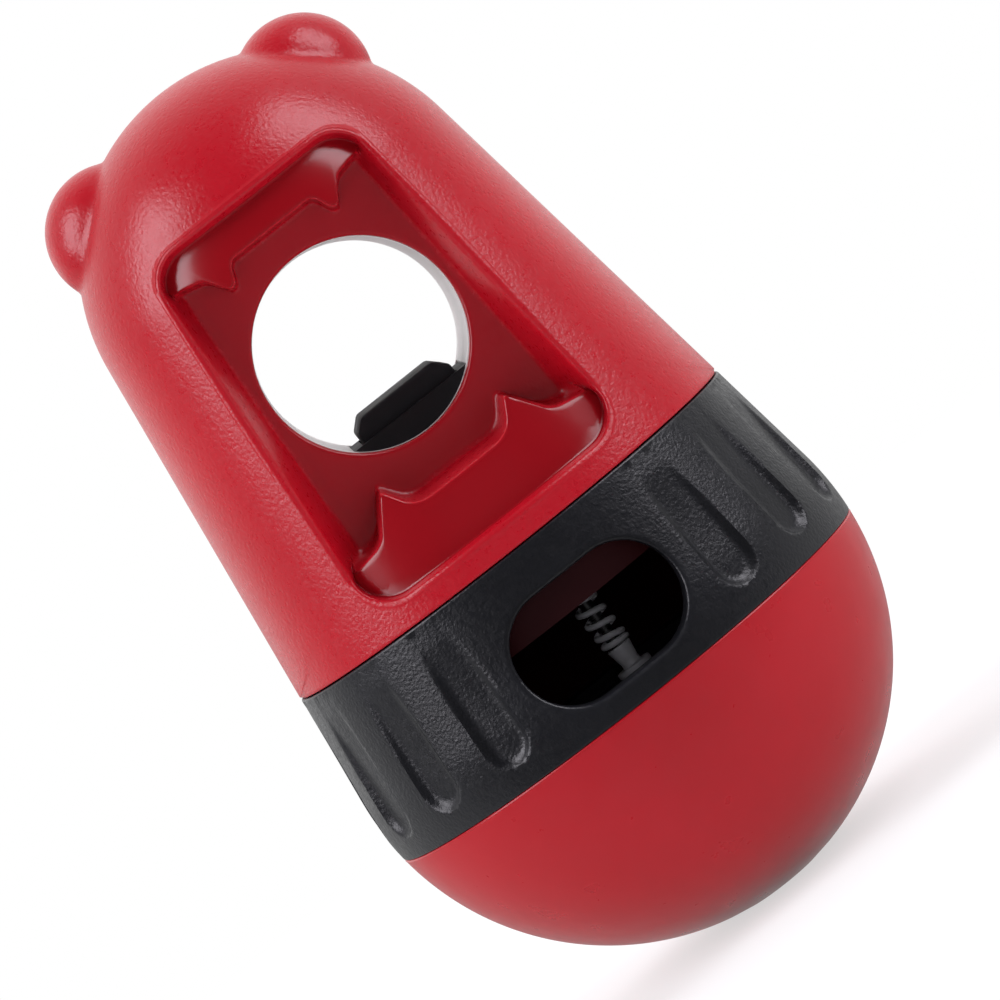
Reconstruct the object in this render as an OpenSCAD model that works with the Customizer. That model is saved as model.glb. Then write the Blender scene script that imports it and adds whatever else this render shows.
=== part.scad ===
// Treat-dispensing tumbler for dogs: a weighted round base, a fluted waist band with an outlet, and a
// bear-shaped head that screws into the band. A pad in the head's hole presses a sprung gate open.
// Millimetres, +Z up, origin at the middle of the flat under the base, front towards -Y.

/* [Body] */
// Radius of the dome on the head
dome_r = 35.95; // [35:0.05:37]
// Height of the dome's centre
dome_z = 133.2; // [131:0.1:136]
// Radius of the round base
base_r = 48.1; // [47.5:0.05:49]
// How much of the round base is cut off for the flat that it stands on
flat_cut = 0.7; // [0.65:0.05:1.1]
// Wall of the head shell
shell_wall = 2.6; // [2.2:0.1:3]
// Wall of the base cup
base_wall = 2.8; // [2.4:0.1:3.2]
// Seam between the base and the band
low_seam_z = 42.5; // [41.5:0.1:43.5]
// Top edge of the band
top_seam_z = 74.5; // [73.5:0.1:75]
// Gap between the band and the head
seam_gap = 0.4; // [0.2:0.1:0.6]

/* [Ears] */
// Radius of an ear
ear_r = 11.8; // [10.5:0.1:12.5]
// Distance of an ear from the middle
ear_x = 20.3; // [19:0.1:21.5]
// Height of an ear's centre
ear_z = 155.6; // [154:0.1:156]

/* [Recess and hole] */
// Top of the recess
rec_top_z = 147.5; // [146:0.1:149]
// Bottom of the recess
rec_low_z = 79.3; // [78.8:0.1:81]
// Half width of the recess at its top
rec_top_half = 20.3; // [19.5:0.1:21]
// Half width of the recess at its bottom
rec_low_half = 26; // [25:0.1:26.5]
// Corner radius at the top of the recess
rec_top_corner = 7.5; // [6:0.1:9]
// Corner radius at the bottom of the recess
rec_low_corner = 10; // [8:0.1:12]
// Distance of the recess floor from the middle plane
floor_y = 22.7; // [21.5:0.1:23.5]
// Half width of the recess floor at its top
floor_top_half = 17.7; // [17:0.1:18.5]
// Half width of the recess floor at its bottom
floor_low_half = 22.4; // [21.5:0.1:23]
// Slope of the recess side walls, in degrees
wall_draft = 19.8; // [12:0.1:25]
// Depth of the two glossy ledges below the outer surface
ledge_drop = 2.5; // [2:0.1:3]
// Lower edge of the top ledge
top_ledge_z = 139.9; // [138.5:0.1:141]
// How far the horns of the top ledge hang down
top_horn_len = 3.6; // [3:0.1:4.2]
// Distance of a top horn from the middle
top_horn_x = 11; // [10:0.1:12]
// Half width of a top horn at its root
top_horn_half = 3.4; // [3:0.1:4]
// Upper edge of the bottom ledge
low_ledge_z = 89.2; // [88:0.1:90]
// How far the horns of the bottom ledge stand up
low_horn_len = 4.1; // [3.5:0.1:4.6]
// Distance of a bottom horn from the middle
low_horn_x = 13; // [12:0.1:14]
// Half width of a bottom horn at its root
low_horn_half = 3.9; // [3.4:0.1:4.4]
// Radius of the horn tips
horn_tip_r = 2; // [1.6:0.1:2.3]
// Height of the hole's centre
hole_z = 115.7; // [114.5:0.1:116.5]
// Radius of the hole in the shell
hole_r = 17.95; // [17.6:0.05:18.3]
// Radius of the liner's bore at its front end
liner_front_r = 17.9; // [17.6:0.05:17.95]
// Radius of the liner's bore at its back end
liner_back_r = 17.6; // [17.3:0.05:17.8]
// Wall of the liner
liner_wall = 1.6; // [1.2:0.1:2]

/* [Band] */
// Thickness of the band, from the base's full radius to the bore that the drum screws into
band_wall = 6.1; // [5.9:0.1:6.5]
// Height of the base's tongue inside the band
tongue_h = 4; // [3:0.1:4.4]
// Thickness of that tongue
tongue_t = 2.4; // [2:0.1:2.6]
// Turn of the band to the right of the head's front, in degrees
band_turn = 2.2; // [0:0.1:4]
// Width of the outlet
outlet_w = 30.8; // [28:0.1:32]
// Height of the outlet
outlet_h = 20.3; // [18:0.1:21]
// Corner radius of the outlet
outlet_corner = 9.4; // [7:0.1:10]
// Height of the outlet's centre
outlet_z = 57.4; // [57:0.1:58.5]
// Angle between neighbouring grip flutes, in degrees
flute_pitch = 20; // [18:1:24]
// Radius of a flute's hollow
flute_r = 6.7; // [6:0.1:7.5]
// Radius of the ball form that ends a flute
flute_end_r = 6.85; // [6.8:0.05:7.6]
// Depth of a flute at its lower end
flute_depth = 1.2; // [0.8:0.1:1.6]
// Height where the flutes are deepest
flute_low_z = 50.5; // [50:0.1:52]
// Height where the flutes run out
flute_top_z = 67; // [64:0.1:69]

/* [Drum] */
// Gap between the drum and the bore, where the thread lies
thread_gap = 0.4; // [0.3:0.05:0.5]
// Wall of the drum
drum_wall = 2.4; // [2.2:0.1:2.6]
// Thickness of the drum's ceiling
ceiling_t = 2.4; // [2:0.1:2.8]
// Height of the drum's top above the head's lower edge
drum_rise = 2.5; // [2:0.1:2.7]
// Width of the shoulder in the head that the drum's top meets
drum_shoulder = 0.8; // [0.6:0.1:1]
// Top edge of the drum's window
window_top_z = 60.8; // [59:0.1:63]
// Height of the window's sill above the spider
window_sill = 1; // [0.5:0.1:2]
// Half width of the drum's window
window_half = 18; // [17:0.1:19]
// Thickness of the spider
spider_t = 2.3; // [2:0.1:2.8]
// Top face of the spider
spider_top_z = 43.3; // [43:0.1:44]
// Width of the spider's rim round its feed windows
spider_rim = 8.2; // [7.7:0.1:11]
// Width of the spider's spokes
spoke_w = 5; // [4:0.1:6]
// Radius of the spider's hub
hub_r = 7; // [6:0.1:8]
// Thickness of the seal ring
seal_d = 1.6; // [1.4:0.1:1.8]
// Height of the seal ring
seal_z = 71.6; // [70:0.1:72]

/* [Pad] */
// Width of the pad's body
pad_w = 19.4; // [18.5:0.1:20]
// Width of the pad's top face
pad_top_w = 15; // [13:0.1:16]
// Height of the bevel on the pad's top edges
pad_bevel = 2.4; // [1.8:0.1:3]
// Length of the pad, front to back
pad_len = 31; // [28:0.1:31.4]
// Top of the pad at rest
pad_top_z = 106.3; // [105.5:0.1:107]
// Wall of the guide's sleeve
sleeve_wall = 1.8; // [1.5:0.1:2]
// Top of the guide's sleeve
sleeve_top_z = 102.2; // [101:0.1:103]
// Extra thickness of the guide's foot round the sleeve
foot_t = 2; // [1.8:0.1:2.4]
// Travel of the pad
pad_travel = 6; // [4:0.5:6]
// Room left under the pad when it is pressed
pad_room = 4.6; // [3:0.1:6]

/* [Plunger] */
// Distance of the rod to the right of the middle
rod_x = 2.9; // [1:0.1:4]
// Radius of the rod
rod_r = 1.25; // [1.1:0.05:1.35]
// Radius of the rod's thin lower end
rod_end_r = 1; // [0.8:0.05:1.05]
// Length of the rod that shows below the nut
rod_tail = 1; // [0.5:0.1:2]
// Outer diameter of the spring
spring_od = 5.5; // [5.3:0.1:6]
// Diameter of the spring wire
wire_d = 1.1; // [0.9:0.05:1.2]
// Turns of the spring
spring_turns = 8; // [6:1:8]
// Underside of the washer on the spring
washer_z = 69.4; // [68:0.1:69.6]
// Radius of that washer
washer_r = 2.95; // [2.9:0.05:3.2]
// Thickness of that washer
washer_t = 0.8; // [0.6:0.1:1]
// Radius of the clip that holds the washer
clip_r = 2.45; // [2.2:0.05:2.7]
// Thickness of that clip
clip_t = 0.6; // [0.5:0.1:0.8]
// Radius of the spring seat's flange
seat_flange_r = 3.3; // [3:0.1:3.8]
// Thickness of that flange
seat_flange_t = 1.1; // [0.9:0.1:1.3]
// Radius of the seat's neck
seat_neck_r = 1.75; // [1.7:0.05:1.9]
// Length of the seat's neck
seat_neck_h = 1; // [0.8:0.1:1.2]
// Radius of the seat's collar at its top
seat_collar_r = 2.3; // [2.1:0.05:2.6]
// Height of the seat's collar
seat_collar_h = 3; // [2.6:0.1:3.4]
// How far the gate disc reaches past the feed windows
gate_overlap = 2.2; // [1:0.1:2.4]
// Thickness of the gate disc
gate_t = 1.7; // [1.4:0.1:2]
// Height of the nut under the gate
nut_h = 2.2; // [1.8:0.1:2.6]
// Radius of that nut over its corners
nut_r = 2.9; // [2.5:0.1:3.2]

/* [Ballast] */
// Height of the weight's flat top
weight_top_z = 17; // [14:0.1:18]
// Thickness of the cover over the weight
cover_t = 2.2; // [1.8:0.1:2.6]
// Radius on which the cover's screws lie
cover_screw_ring = 20; // [16:0.5:22]

/* [Screws] */
// Radius of a screw's shank
screw_r = 1.1; // [1:0.05:1.3]
// Radius of a screw's head
screw_head_r = 2; // [1.8:0.1:2.1]
// Height of a screw's head
screw_head_h = 1.5; // [1.2:0.1:1.7]
// Length of a screw under its head
screw_len = 9; // [8:0.5:10]
// Radius of a boss that takes a screw
boss_r = 3.4; // [3.2:0.1:3.5]

/* [Clearances] */
// Clearance of a sliding or turning fit, on the radius
run_fit = 0.07; // [0.04:0.01:0.1]
// Clearance of pieces that are fixed together
set_fit = 0.05; // [0.02:0.01:0.1]
// Clearance of the pad in its guide
pad_clear = 0.3; // [0.2:0.05:0.4]
// Clearance between the gate and the spider at rest
gate_gap = 0.1; // [0.05:0.05:0.2]
// Room over and under the seal ring in its groove
seal_room = 0.3; // [0.2:0.05:0.4]
// Gap between a screw head and the drum's wall
head_gap = 0.8; // [0.5:0.1:1.1]
// Clearance of the weight in the base
weight_clear = 0.3; // [0.2:0.1:0.5]

/* [Hidden] */
$fn = 96;
eps = 0.5;
far = 120;

red = [0.72, 0.05, 0.09];
dark_red = [0.5, 0.04, 0.07];
charcoal = [0.15, 0.16, 0.18];
black = [0.05, 0.05, 0.055];
white = [0.9, 0.9, 0.88];
steel = [0.7, 0.71, 0.73];
iron = [0.35, 0.35, 0.36];

// The side of the body is a cone along both spheres, sunk a little so that it meets them at clean edges
base_z = base_r - flat_cut;
cone_angle = asin((base_r - dome_r) / (dome_z - base_z));
cone_sink = 0.02;
head_low_z = top_seam_z + seam_gap;
head_top_z = dome_z + dome_r;
bore_r = base_r - band_wall;
drum_r = bore_r - thread_gap;
drum_in_r = drum_r - drum_wall;
feed_r = drum_in_r - spider_rim;
gate_r = feed_r + gate_overlap;
drum_top_z = head_low_z + drum_rise;
ceiling_z = drum_top_z - ceiling_t;
drum_seat_z = drum_top_z + set_fit;
spider_low_z = spider_top_z - spider_t;
tongue_r = bore_r + tongue_t;
base_in_r = base_r - base_wall;
liner_r = liner_front_r + liner_wall;
liner_half = floor_y - shell_wall - set_fit;
pad_low_z = drum_top_z + pad_travel + pad_room;
slot_w = pad_w + 2 * pad_clear;
slot_len = pad_len + 2 * pad_clear;
sleeve_w = slot_w + 2 * sleeve_wall;
sleeve_len = slot_len + 2 * sleeve_wall;
foot_w = sleeve_w + 2 * foot_t;
foot_len = sleeve_len + 2 * foot_t;
seat_z = spider_top_z + seat_flange_t + seat_neck_h + seat_collar_h;
gate_top_z = spider_low_z - gate_gap;
gate_low_z = gate_top_z - gate_t;
rod_top_z = (pad_low_z + pad_top_z) / 2;
rod_low_z = gate_low_z - nut_h - rod_tail;
seal_mid_r = bore_r - run_fit - seal_d / 2;
seal_groove_r = seal_mid_r - seal_d / 2 - run_fit;
seal_groove_h = seal_d + 2 * seal_room;
cover_z = weight_top_z + set_fit;
pilot_r = screw_r + set_fit;
drum_screw_ring = drum_in_r - screw_head_r - head_gap;
drum_screw_angles = [28, 152, 208, 332];
spider_screw_angles = [0, 120, 240];
guide_screw_x = (sleeve_w + slot_w) / 4 + foot_t / 2;
guide_screw_y = (sleeve_len + slot_len) / 4 + foot_t / 2;
cover_screw_angles = [90, 210, 330];
flute_first = 1.5 * flute_pitch;
// The hollow's form goes on past the place where it leaves the surface
flute_overrun = 1.3;
flute_count = floor((360 - 2 * flute_first) / flute_pitch) + 1;

function body_r(z) = let (low = base_z + base_r * sin(cone_angle))
    z > low ? base_r * cos(cone_angle) - (z - low) * tan(cone_angle)
            : sqrt(base_r * base_r - (z - base_z) * (z - base_z));

function rec_half(z, extra) = extra / cos(rec_lean)
    + rec_low_half + (rec_top_half - rec_low_half) * (z - rec_low_z) / (rec_top_z - rec_low_z);
rec_lean = atan((rec_low_half - rec_top_half) / (rec_top_z - rec_low_z));
floor_lean = atan((floor_low_half - floor_top_half) / (rec_top_z - rec_low_z));

// Cylinder between two heights
module post(r, z0, z1) {
    translate([0, 0, z0])
        cylinder(r = r, h = z1 - z0);
}

// Block between two heights, centred on the axis
module slab(w, len, z0, z1) {
    translate([-w / 2, -len / 2, z0])
        cube([w, len, z1 - z0]);
}

// Outer form of the body, all round, smaller by inset, between two heights
module body_form(inset, z0, z1) {
    r_low = base_r - inset;
    r_top = dome_r - inset;
    out = [cos(cone_angle), sin(cone_angle)];
    cone_low = [0, base_z] + (r_low - cone_sink) * out;
    cone_top = [0, dome_z] + (r_top - cone_sink) * out;
    rotate_extrude()
        intersection() {
            union() {
                translate([0, base_z])
                    circle(r = r_low);
                translate([0, dome_z])
                    circle(r = r_top);
                polygon([[0, cone_low.y], cone_low, cone_top, [0, cone_top.y]]);
            }
            translate([0, z0])
                square([far, z1 - z0]);
        }
}

// Flat shape in the XZ plane, drawn from y0 to y1
module drawn_along_y(y0, y1) {
    translate([0, y1, 0])
        rotate([90, 0, 0])
            linear_extrude(height = y1 - y0)
                children();
}

// One copy on the front and one, turned half round, on the back
module front_and_back() {
    children();
    rotate([0, 0, 180])
        children();
}

// Outline of the recess, wider by extra all round
module recess_outline(extra) {
    top_r = rec_top_corner + extra;
    low_r = rec_low_corner + extra;
    top_z = rec_top_z + extra;
    low_z = rec_low_z - extra;
    top_x = rec_half(top_z - top_r, extra) - top_r / cos(rec_lean);
    low_x = rec_half(low_z + low_r, extra) - low_r / cos(rec_lean);
    side_top = [top_x + top_r * cos(rec_lean), top_z - top_r + top_r * sin(rec_lean)];
    side_low = [low_x + low_r * cos(rec_lean), low_z + low_r + low_r * sin(rec_lean)];
    polygon([[-top_x, top_z], [top_x, top_z], side_top, side_low, [low_x, low_z], [-low_x, low_z],
             [-side_low.x, side_low.y], [-side_top.x, side_top.y]]);
    for (side = [-1, 1]) {
        translate([side * top_x, top_z - top_r])
            circle(r = top_r);
        translate([side * low_x, low_z + low_r])
            circle(r = low_r);
    }
}

// Outline of a ledge that fills the recess from edge_z to end_z, with two round-tipped horns
module ledge_outline(edge_z, end_z, horn_x, horn_half, horn_len) {
    way = sign(edge_z - end_z);
    tip_z = edge_z + way * (horn_len - horn_tip_r);
    translate([-far / 2, min(edge_z, end_z)])
        square([far, abs(edge_z - end_z)]);
    for (side = [-1, 1]) {
        polygon([[side * horn_x - horn_half, edge_z], [side * horn_x - horn_tip_r, tip_z],
                 [side * horn_x + horn_tip_r, tip_z], [side * horn_x + horn_half, edge_z]]);
        translate([side * horn_x, tip_z])
            circle(r = horn_tip_r);
    }
}

// What stays standing on one side of the recess: everything beyond its sloping side wall
module recess_side() {
    middle_z = (rec_top_z + rec_low_z) / 2;
    translate([-(floor_top_half + floor_low_half) / 2, -floor_y, middle_z])
        rotate([0, floor_lean, 0])
            rotate([0, 0, -wall_draft])
                translate([-far, -far / 2, -far / 2])
                    cube([far, far, far]);
}

// The space of the front recess, with its two ledges left standing
module recess_space() {
    difference() {
        drawn_along_y(-far, -floor_y)
            recess_outline(0);
        recess_side();
        mirror([1, 0, 0])
            recess_side();
        intersection() {
            body_form(ledge_drop, low_seam_z, head_top_z);
            drawn_along_y(-far, 0)
                union() {
                    ledge_outline(top_ledge_z, rec_top_z + eps, top_horn_x, top_horn_half, top_horn_len);
                    ledge_outline(low_ledge_z, rec_low_z - eps, low_horn_x, low_horn_half, low_horn_len);
                }
        }
    }
}

// Hollow behind a ledge of the front recess, so that the wall stays even
module ledge_hollow(z0, z1) {
    intersection() {
        body_form(ledge_drop + shell_wall, low_seam_z, head_top_z);
        translate([-rec_top_half, -far, z0])
            cube([2 * rec_top_half, far - liner_half / 2, z1 - z0]);
    }
}

// Copies at the given angles on a circle round the axis
module around(angles, ring) {
    for (angle = angles)
        rotate([0, 0, angle])
            translate([ring, 0, 0])
                children();
}

// Copies on the four corners of the pad guide's foot
module at_guide_screws() {
    for (sx = [-1, 1], sy = [-1, 1])
        translate([sx * guide_screw_x, sy * guide_screw_y, 0])
            children();
}

// Pan-head screw that enters upwards, its head's bearing face at z
module screw_up(z) {
    post(screw_head_r, z - screw_head_h, z);
    post(screw_r, z - eps, z + screw_len);
}

// Pan-head screw that enters downwards
module screw_down(z) {
    post(screw_head_r, z, z + screw_head_h);
    post(screw_r, z - screw_len, z + eps);
}

module base_cup() {
    color(red)
        difference() {
            union() {
                difference() {
                    body_form(0, 0, low_seam_z);
                    translate([0, 0, base_z])
                        sphere(r = base_in_r);
                }
                difference() {
                    intersection() {
                        post(base_in_r + base_wall / 2, low_seam_z - tongue_h, low_seam_z);
                        body_form(base_wall / 2, 0, low_seam_z);
                    }
                    post(bore_r, 0, low_seam_z + eps);
                }
                difference() {
                    post(tongue_r, low_seam_z - eps, low_seam_z + tongue_h);
                    post(bore_r, 0, low_seam_z + tongue_h + eps);
                }
                intersection() {
                    around(cover_screw_angles, cover_screw_ring)
                        post(boss_r, 0, weight_top_z);
                    body_form(base_wall / 2, 0, low_seam_z);
                }
            }
            around(cover_screw_angles, cover_screw_ring)
                post(pilot_r, cover_z + cover_t - screw_len - eps, weight_top_z + eps);
        }
}

module ballast_weight() {
    color(iron)
        difference() {
            intersection() {
                translate([0, 0, base_z])
                    sphere(r = base_in_r - weight_clear);
                post(far, 0, weight_top_z);
            }
            around(cover_screw_angles, cover_screw_ring)
                post(boss_r + weight_clear, -eps, weight_top_z + eps);
        }
}

module weight_cover() {
    edge = cover_z - base_z;
    color(black)
        difference() {
            post(sqrt(base_in_r * base_in_r - edge * edge) - weight_clear, cover_z, cover_z + cover_t);
            around(cover_screw_angles, cover_screw_ring)
                post(pilot_r, 0, cover_z + cover_t + eps);
        }
}

module weight_screws() {
    color(steel)
        around(cover_screw_angles, cover_screw_ring)
            screw_down(cover_z + cover_t);
}

// Space of one grip flute: a hollow with a ball end below, which curves outwards and runs out above
module flute_space() {
    out = [cos(cone_angle), 0, sin(cone_angle)];
    low = [body_r(flute_low_z) + flute_r - flute_depth, 0, flute_low_z];
    sweep_r = pow(flute_top_z - flute_low_z, 2) / (2 * flute_depth);
    sweep_angle = acos(1 - flute_depth / sweep_r);
    translate(low)
        sphere(r = flute_end_r);
    translate(low + sweep_r * out)
        rotate([0, -cone_angle, 0])
            rotate([90, 0, 180])
                rotate_extrude(angle = flute_overrun * sweep_angle, $fn = 360)
                    translate([sweep_r, 0])
                        circle(r = flute_r);
}

module waist_band() {
    color(charcoal)
        rotate([0, 0, band_turn - 90])
            difference() {
                body_form(0, low_seam_z, top_seam_z);
                post(bore_r, 0, far);
                post(tongue_r + set_fit, 0, low_seam_z + tongue_h + set_fit);
                rotate([0, 0, 90])
                    drawn_along_y(-far, 0)
                        translate([0, outlet_z])
                            rounded_rect(outlet_w, outlet_h, outlet_corner);
                around([for (i = [0 : flute_count - 1]) flute_first + i * flute_pitch], 0)
                    flute_space();
            }
}

// Rectangle with round corners, centred
module rounded_rect(w, h, r) {
    square([w - 2 * r, h], center = true);
    square([w, h - 2 * r], center = true);
    for (sx = [-1, 1], sy = [-1, 1])
        translate([sx * (w / 2 - r), sy * (h / 2 - r)])
            circle(r = r);
}

module seal_ring() {
    color(black)
        translate([0, 0, seal_z])
            rotate_extrude()
                translate([seal_mid_r, 0])
                    circle(r = seal_d / 2);
}

// Hollow of the head, which leaves the walls behind the recesses and the screw bosses standing
module head_hollow() {
    difference() {
        union() {
            body_form(shell_wall, 0, head_top_z);
            ears(ear_r - shell_wall);
        }
        difference() {
            union() {
                front_and_back()
                    drawn_along_y(-far, -liner_half - set_fit)
                        recess_outline(shell_wall);
                around(drum_screw_angles, drum_screw_ring) {
                    post(boss_r, 0, drum_top_z + screw_len + ceiling_t);
                    translate([0, -shell_wall / 2, 0])
                        cube([far, shell_wall, drum_top_z + screw_len + ceiling_t]);
                }
                difference() {
                    post(far, 0, drum_seat_z + shell_wall);
                    post(drum_r - drum_shoulder, -eps, drum_seat_z + shell_wall + eps);
                }
            }
            post(far, -eps, drum_seat_z);
        }
    }
}

module head_shell() {
    color(red)
        difference() {
            union() {
                body_form(0, head_low_z, head_top_z);
                ears(ear_r);
            }
            head_hollow();
            front_and_back()
                recess_space();
            front_and_back() {
                ledge_hollow(drum_top_z - eps, low_ledge_z - shell_wall);
                ledge_hollow(top_ledge_z + shell_wall, rec_top_z);
            }
            translate([0, 0, hole_z])
                rotate([90, 0, 0])
                    cylinder(r = hole_r, h = 2 * far, center = true);
            post(drum_r + set_fit, 0, drum_seat_z);
            around(drum_screw_angles, drum_screw_ring)
                post(pilot_r, drum_top_z - eps, drum_top_z + screw_len);
        }
}

// Both ears as plain spheres
module ears(r) {
    for (side = [-1, 1])
        translate([side * ear_x, 0, ear_z])
            sphere(r = r);
}

module hole_liner() {
    color(white)
        difference() {
            translate([0, 0, hole_z])
                rotate([-90, 0, 0])
                    translate([0, 0, -liner_half])
                        difference() {
                            cylinder(r = liner_r, h = 2 * liner_half);
                            cylinder(r1 = liner_front_r, r2 = liner_back_r, h = 2 * liner_half);
                        }
            slab(sleeve_w + 2 * set_fit, sleeve_len + 2 * set_fit, pad_low_z, hole_z);
        }
}

module feed_drum() {
    color(dark_red)
        difference() {
            union() {
                difference() {
                    post(drum_r, spider_low_z, drum_top_z);
                    post(drum_in_r, spider_low_z - eps, ceiling_z);
                }
                translate([rod_x, 0, 0])
                    post(boss_r, ceiling_z - ceiling_t, ceiling_z + eps);
                intersection() {
                    around(spider_screw_angles, drum_screw_ring)
                        post(boss_r, spider_top_z, spider_top_z + screw_len);
                    post(drum_r - drum_wall / 2, spider_top_z, ceiling_z);
                }
            }
            translate([-window_half, -far, spider_top_z + window_sill])
                cube([2 * window_half, far, window_top_z - spider_top_z - window_sill]);
            difference() {
                post(far, seal_z - seal_groove_h / 2, seal_z + seal_groove_h / 2);
                post(seal_groove_r, seal_z - seal_groove_h, seal_z + seal_groove_h);
            }
            translate([rod_x, 0, 0])
                post(rod_r + run_fit, ceiling_z - ceiling_t - eps, drum_top_z + eps);
            around(drum_screw_angles, drum_screw_ring)
                post(pilot_r, ceiling_z - eps, drum_top_z + eps);
            at_guide_screws()
                post(pilot_r, ceiling_z - eps, drum_top_z + eps);
            around(spider_screw_angles, drum_screw_ring)
                post(pilot_r, spider_top_z - eps, spider_low_z + screw_len + eps);
        }
}

module drum_screws() {
    color(steel)
        around(drum_screw_angles, drum_screw_ring)
            screw_up(ceiling_z);
}

module pad_guide() {
    color(black)
        difference() {
            union() {
                slab(sleeve_w, sleeve_len, drum_top_z, sleeve_top_z);
                difference() {
                    slab(foot_w, foot_len, drum_top_z, hole_z);
                    translate([0, 0, hole_z])
                        rotate([90, 0, 0])
                            cylinder(r = liner_r + set_fit, h = far, center = true);
                }
            }
            slab(slot_w, slot_len, drum_top_z - eps, sleeve_top_z + eps);
            at_guide_screws()
                post(pilot_r, drum_top_z - eps, ceiling_z + screw_len + eps);
        }
}

module guide_screws() {
    color(steel)
        at_guide_screws()
            screw_up(ceiling_z);
}

module seat_spider() {
    color(black)
        difference() {
            post(drum_in_r - set_fit, spider_low_z, spider_top_z);
            difference() {
                post(feed_r, spider_low_z - eps, spider_top_z + eps);
                translate([rod_x, 0, 0])
                    post(hub_r, 0, far);
                translate([-far / 2, -spoke_w / 2, 0])
                    cube([far, spoke_w, far]);
                translate([rod_x - spoke_w / 2, -far / 2, 0])
                    cube([spoke_w, far, far]);
            }
            translate([rod_x, 0, 0])
                post(seat_neck_r + set_fit, spider_low_z - eps, spider_top_z + eps);
            around(spider_screw_angles, drum_screw_ring)
                post(pilot_r, spider_low_z - eps, spider_top_z + eps);
        }
}

module spider_screws() {
    color(steel)
        around(spider_screw_angles, drum_screw_ring)
            screw_up(spider_low_z);
}

module spring_seat() {
    neck_z = spider_top_z + seat_flange_t;
    collar_z = neck_z + seat_neck_h;
    color(steel)
        translate([rod_x, 0, 0])
            difference() {
                union() {
                    post(seat_neck_r, spider_low_z, collar_z + eps);
                    post(seat_flange_r, spider_top_z, neck_z);
                    translate([0, 0, collar_z])
                        cylinder(r1 = seat_neck_r, r2 = seat_collar_r, h = seat_collar_h);
                }
                post(rod_r + run_fit, spider_low_z - eps, seat_z + eps);
            }
}

module press_pad() {
    color(black)
        difference() {
            drawn_along_y(-pad_len / 2, pad_len / 2)
                polygon([[-pad_w / 2, pad_low_z], [pad_w / 2, pad_low_z],
                         [pad_w / 2, pad_top_z - pad_bevel], [pad_top_w / 2, pad_top_z],
                         [-pad_top_w / 2, pad_top_z], [-pad_w / 2, pad_top_z - pad_bevel]]);
            translate([rod_x, 0, 0])
                post(rod_r + set_fit, pad_low_z - eps, rod_top_z);
        }
}

module plunger_rod() {
    color(steel)
        translate([rod_x, 0, 0]) {
            post(rod_r, gate_top_z, rod_top_z);
            post(rod_end_r, rod_low_z, gate_top_z + eps);
        }
}

module spring_washer() {
    color(steel)
        translate([rod_x, 0, washer_z])
            difference() {
                cylinder(r = washer_r, h = washer_t);
                translate([0, 0, -eps])
                    cylinder(r = rod_r + set_fit, h = washer_t + 2 * eps);
            }
}

module retaining_clip() {
    color(steel)
        translate([rod_x, 0, washer_z + washer_t + set_fit])
            difference() {
                cylinder(r = clip_r, h = clip_t);
                translate([0, 0, -eps])
                    cylinder(r = rod_r + set_fit, h = clip_t + 2 * eps);
                translate([-rod_r, 0, -eps])
                    cube([2 * rod_r, 2 * clip_r, clip_t + 2 * eps]);
            }
}

module gate_disc() {
    color(black)
        difference() {
            post(gate_r, gate_low_z, gate_top_z);
            translate([rod_x, 0, 0])
                post(rod_end_r + set_fit, gate_low_z - eps, gate_top_z + eps);
        }
}

module gate_nut() {
    color(steel)
        translate([rod_x, 0, gate_low_z - nut_h])
            difference() {
                cylinder(r = nut_r, h = nut_h, $fn = 6);
                translate([0, 0, -eps])
                    cylinder(r = rod_end_r + set_fit, h = nut_h + 2 * eps);
            }
}

// The spring is one wire: a straight end on the seat, the curls, and a straight end under the washer
curl_rings = 8;
wire_sides = 6;
coil_r = (spring_od - wire_d) / 2;
coil_rise = washer_z - seat_z - 2 * wire_d;
wire_steps = spring_turns * curl_rings;
function coil_point(i) = let (a = 360 * i / curl_rings)
    [coil_r * cos(a), coil_r * sin(a), seat_z + wire_d + coil_rise * i / wire_steps];
wire_path = concat([[coil_r, 0, seat_z]], [for (i = [0 : wire_steps]) coil_point(i)],
                   [coil_point(wire_steps) + [0, 0, wire_d]]);
wire_last = len(wire_path) - 1;
function unit(v) = v / norm(v);
function wire_way(i) = unit(wire_path[min(i + 1, wire_last)] - wire_path[max(i - 1, 0)]);
function wire_ring(i) = let (way = wire_way(i), out = [wire_path[i].x, wire_path[i].y, 0],
                             side = unit(out - way * (out * way)), up = cross(way, side))
    [for (k = [0 : wire_sides - 1]) let (a = 360 * k / wire_sides)
        wire_path[i] + wire_d / 2 * (side * cos(a) + up * sin(a))];
wire_points = [for (i = [0 : wire_last]) each wire_ring(i)];
wire_faces = concat(
    [for (k = [1 : wire_sides - 2]) [0, k, k + 1]],
    [for (i = [0 : wire_last - 1], k = [0 : wire_sides - 1])
        let (a = i * wire_sides + k, b = i * wire_sides + (k + 1) % wire_sides)
        each [[a, a + wire_sides, b + wire_sides], [a, b + wire_sides, b]]],
    [for (k = [1 : wire_sides - 2]) let (a = wire_last * wire_sides) [a, a + k + 1, a + k]]);
wire_gaps = [for (i = [0 : wire_last], j = [i + curl_rings / 2 : 1 : wire_last])
    norm(wire_path[i] - wire_path[j]) - wire_d];
echo(least_gap_between_curls = min(wire_gaps));

module return_spring() {
    color(steel)
        translate([rod_x, 0, 0])
            polyhedron(points = wire_points, faces = wire_faces);
}

base_cup();
ballast_weight();
weight_cover();
weight_screws();
waist_band();
seal_ring();
head_shell();
hole_liner();
feed_drum();
drum_screws();
pad_guide();
guide_screws();
seat_spider();
spider_screws();
spring_seat();
press_pad();
plunger_rod();
spring_washer();
retaining_clip();
gate_disc();
gate_nut();
return_spring();
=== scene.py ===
import math
from functools import partial

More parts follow.
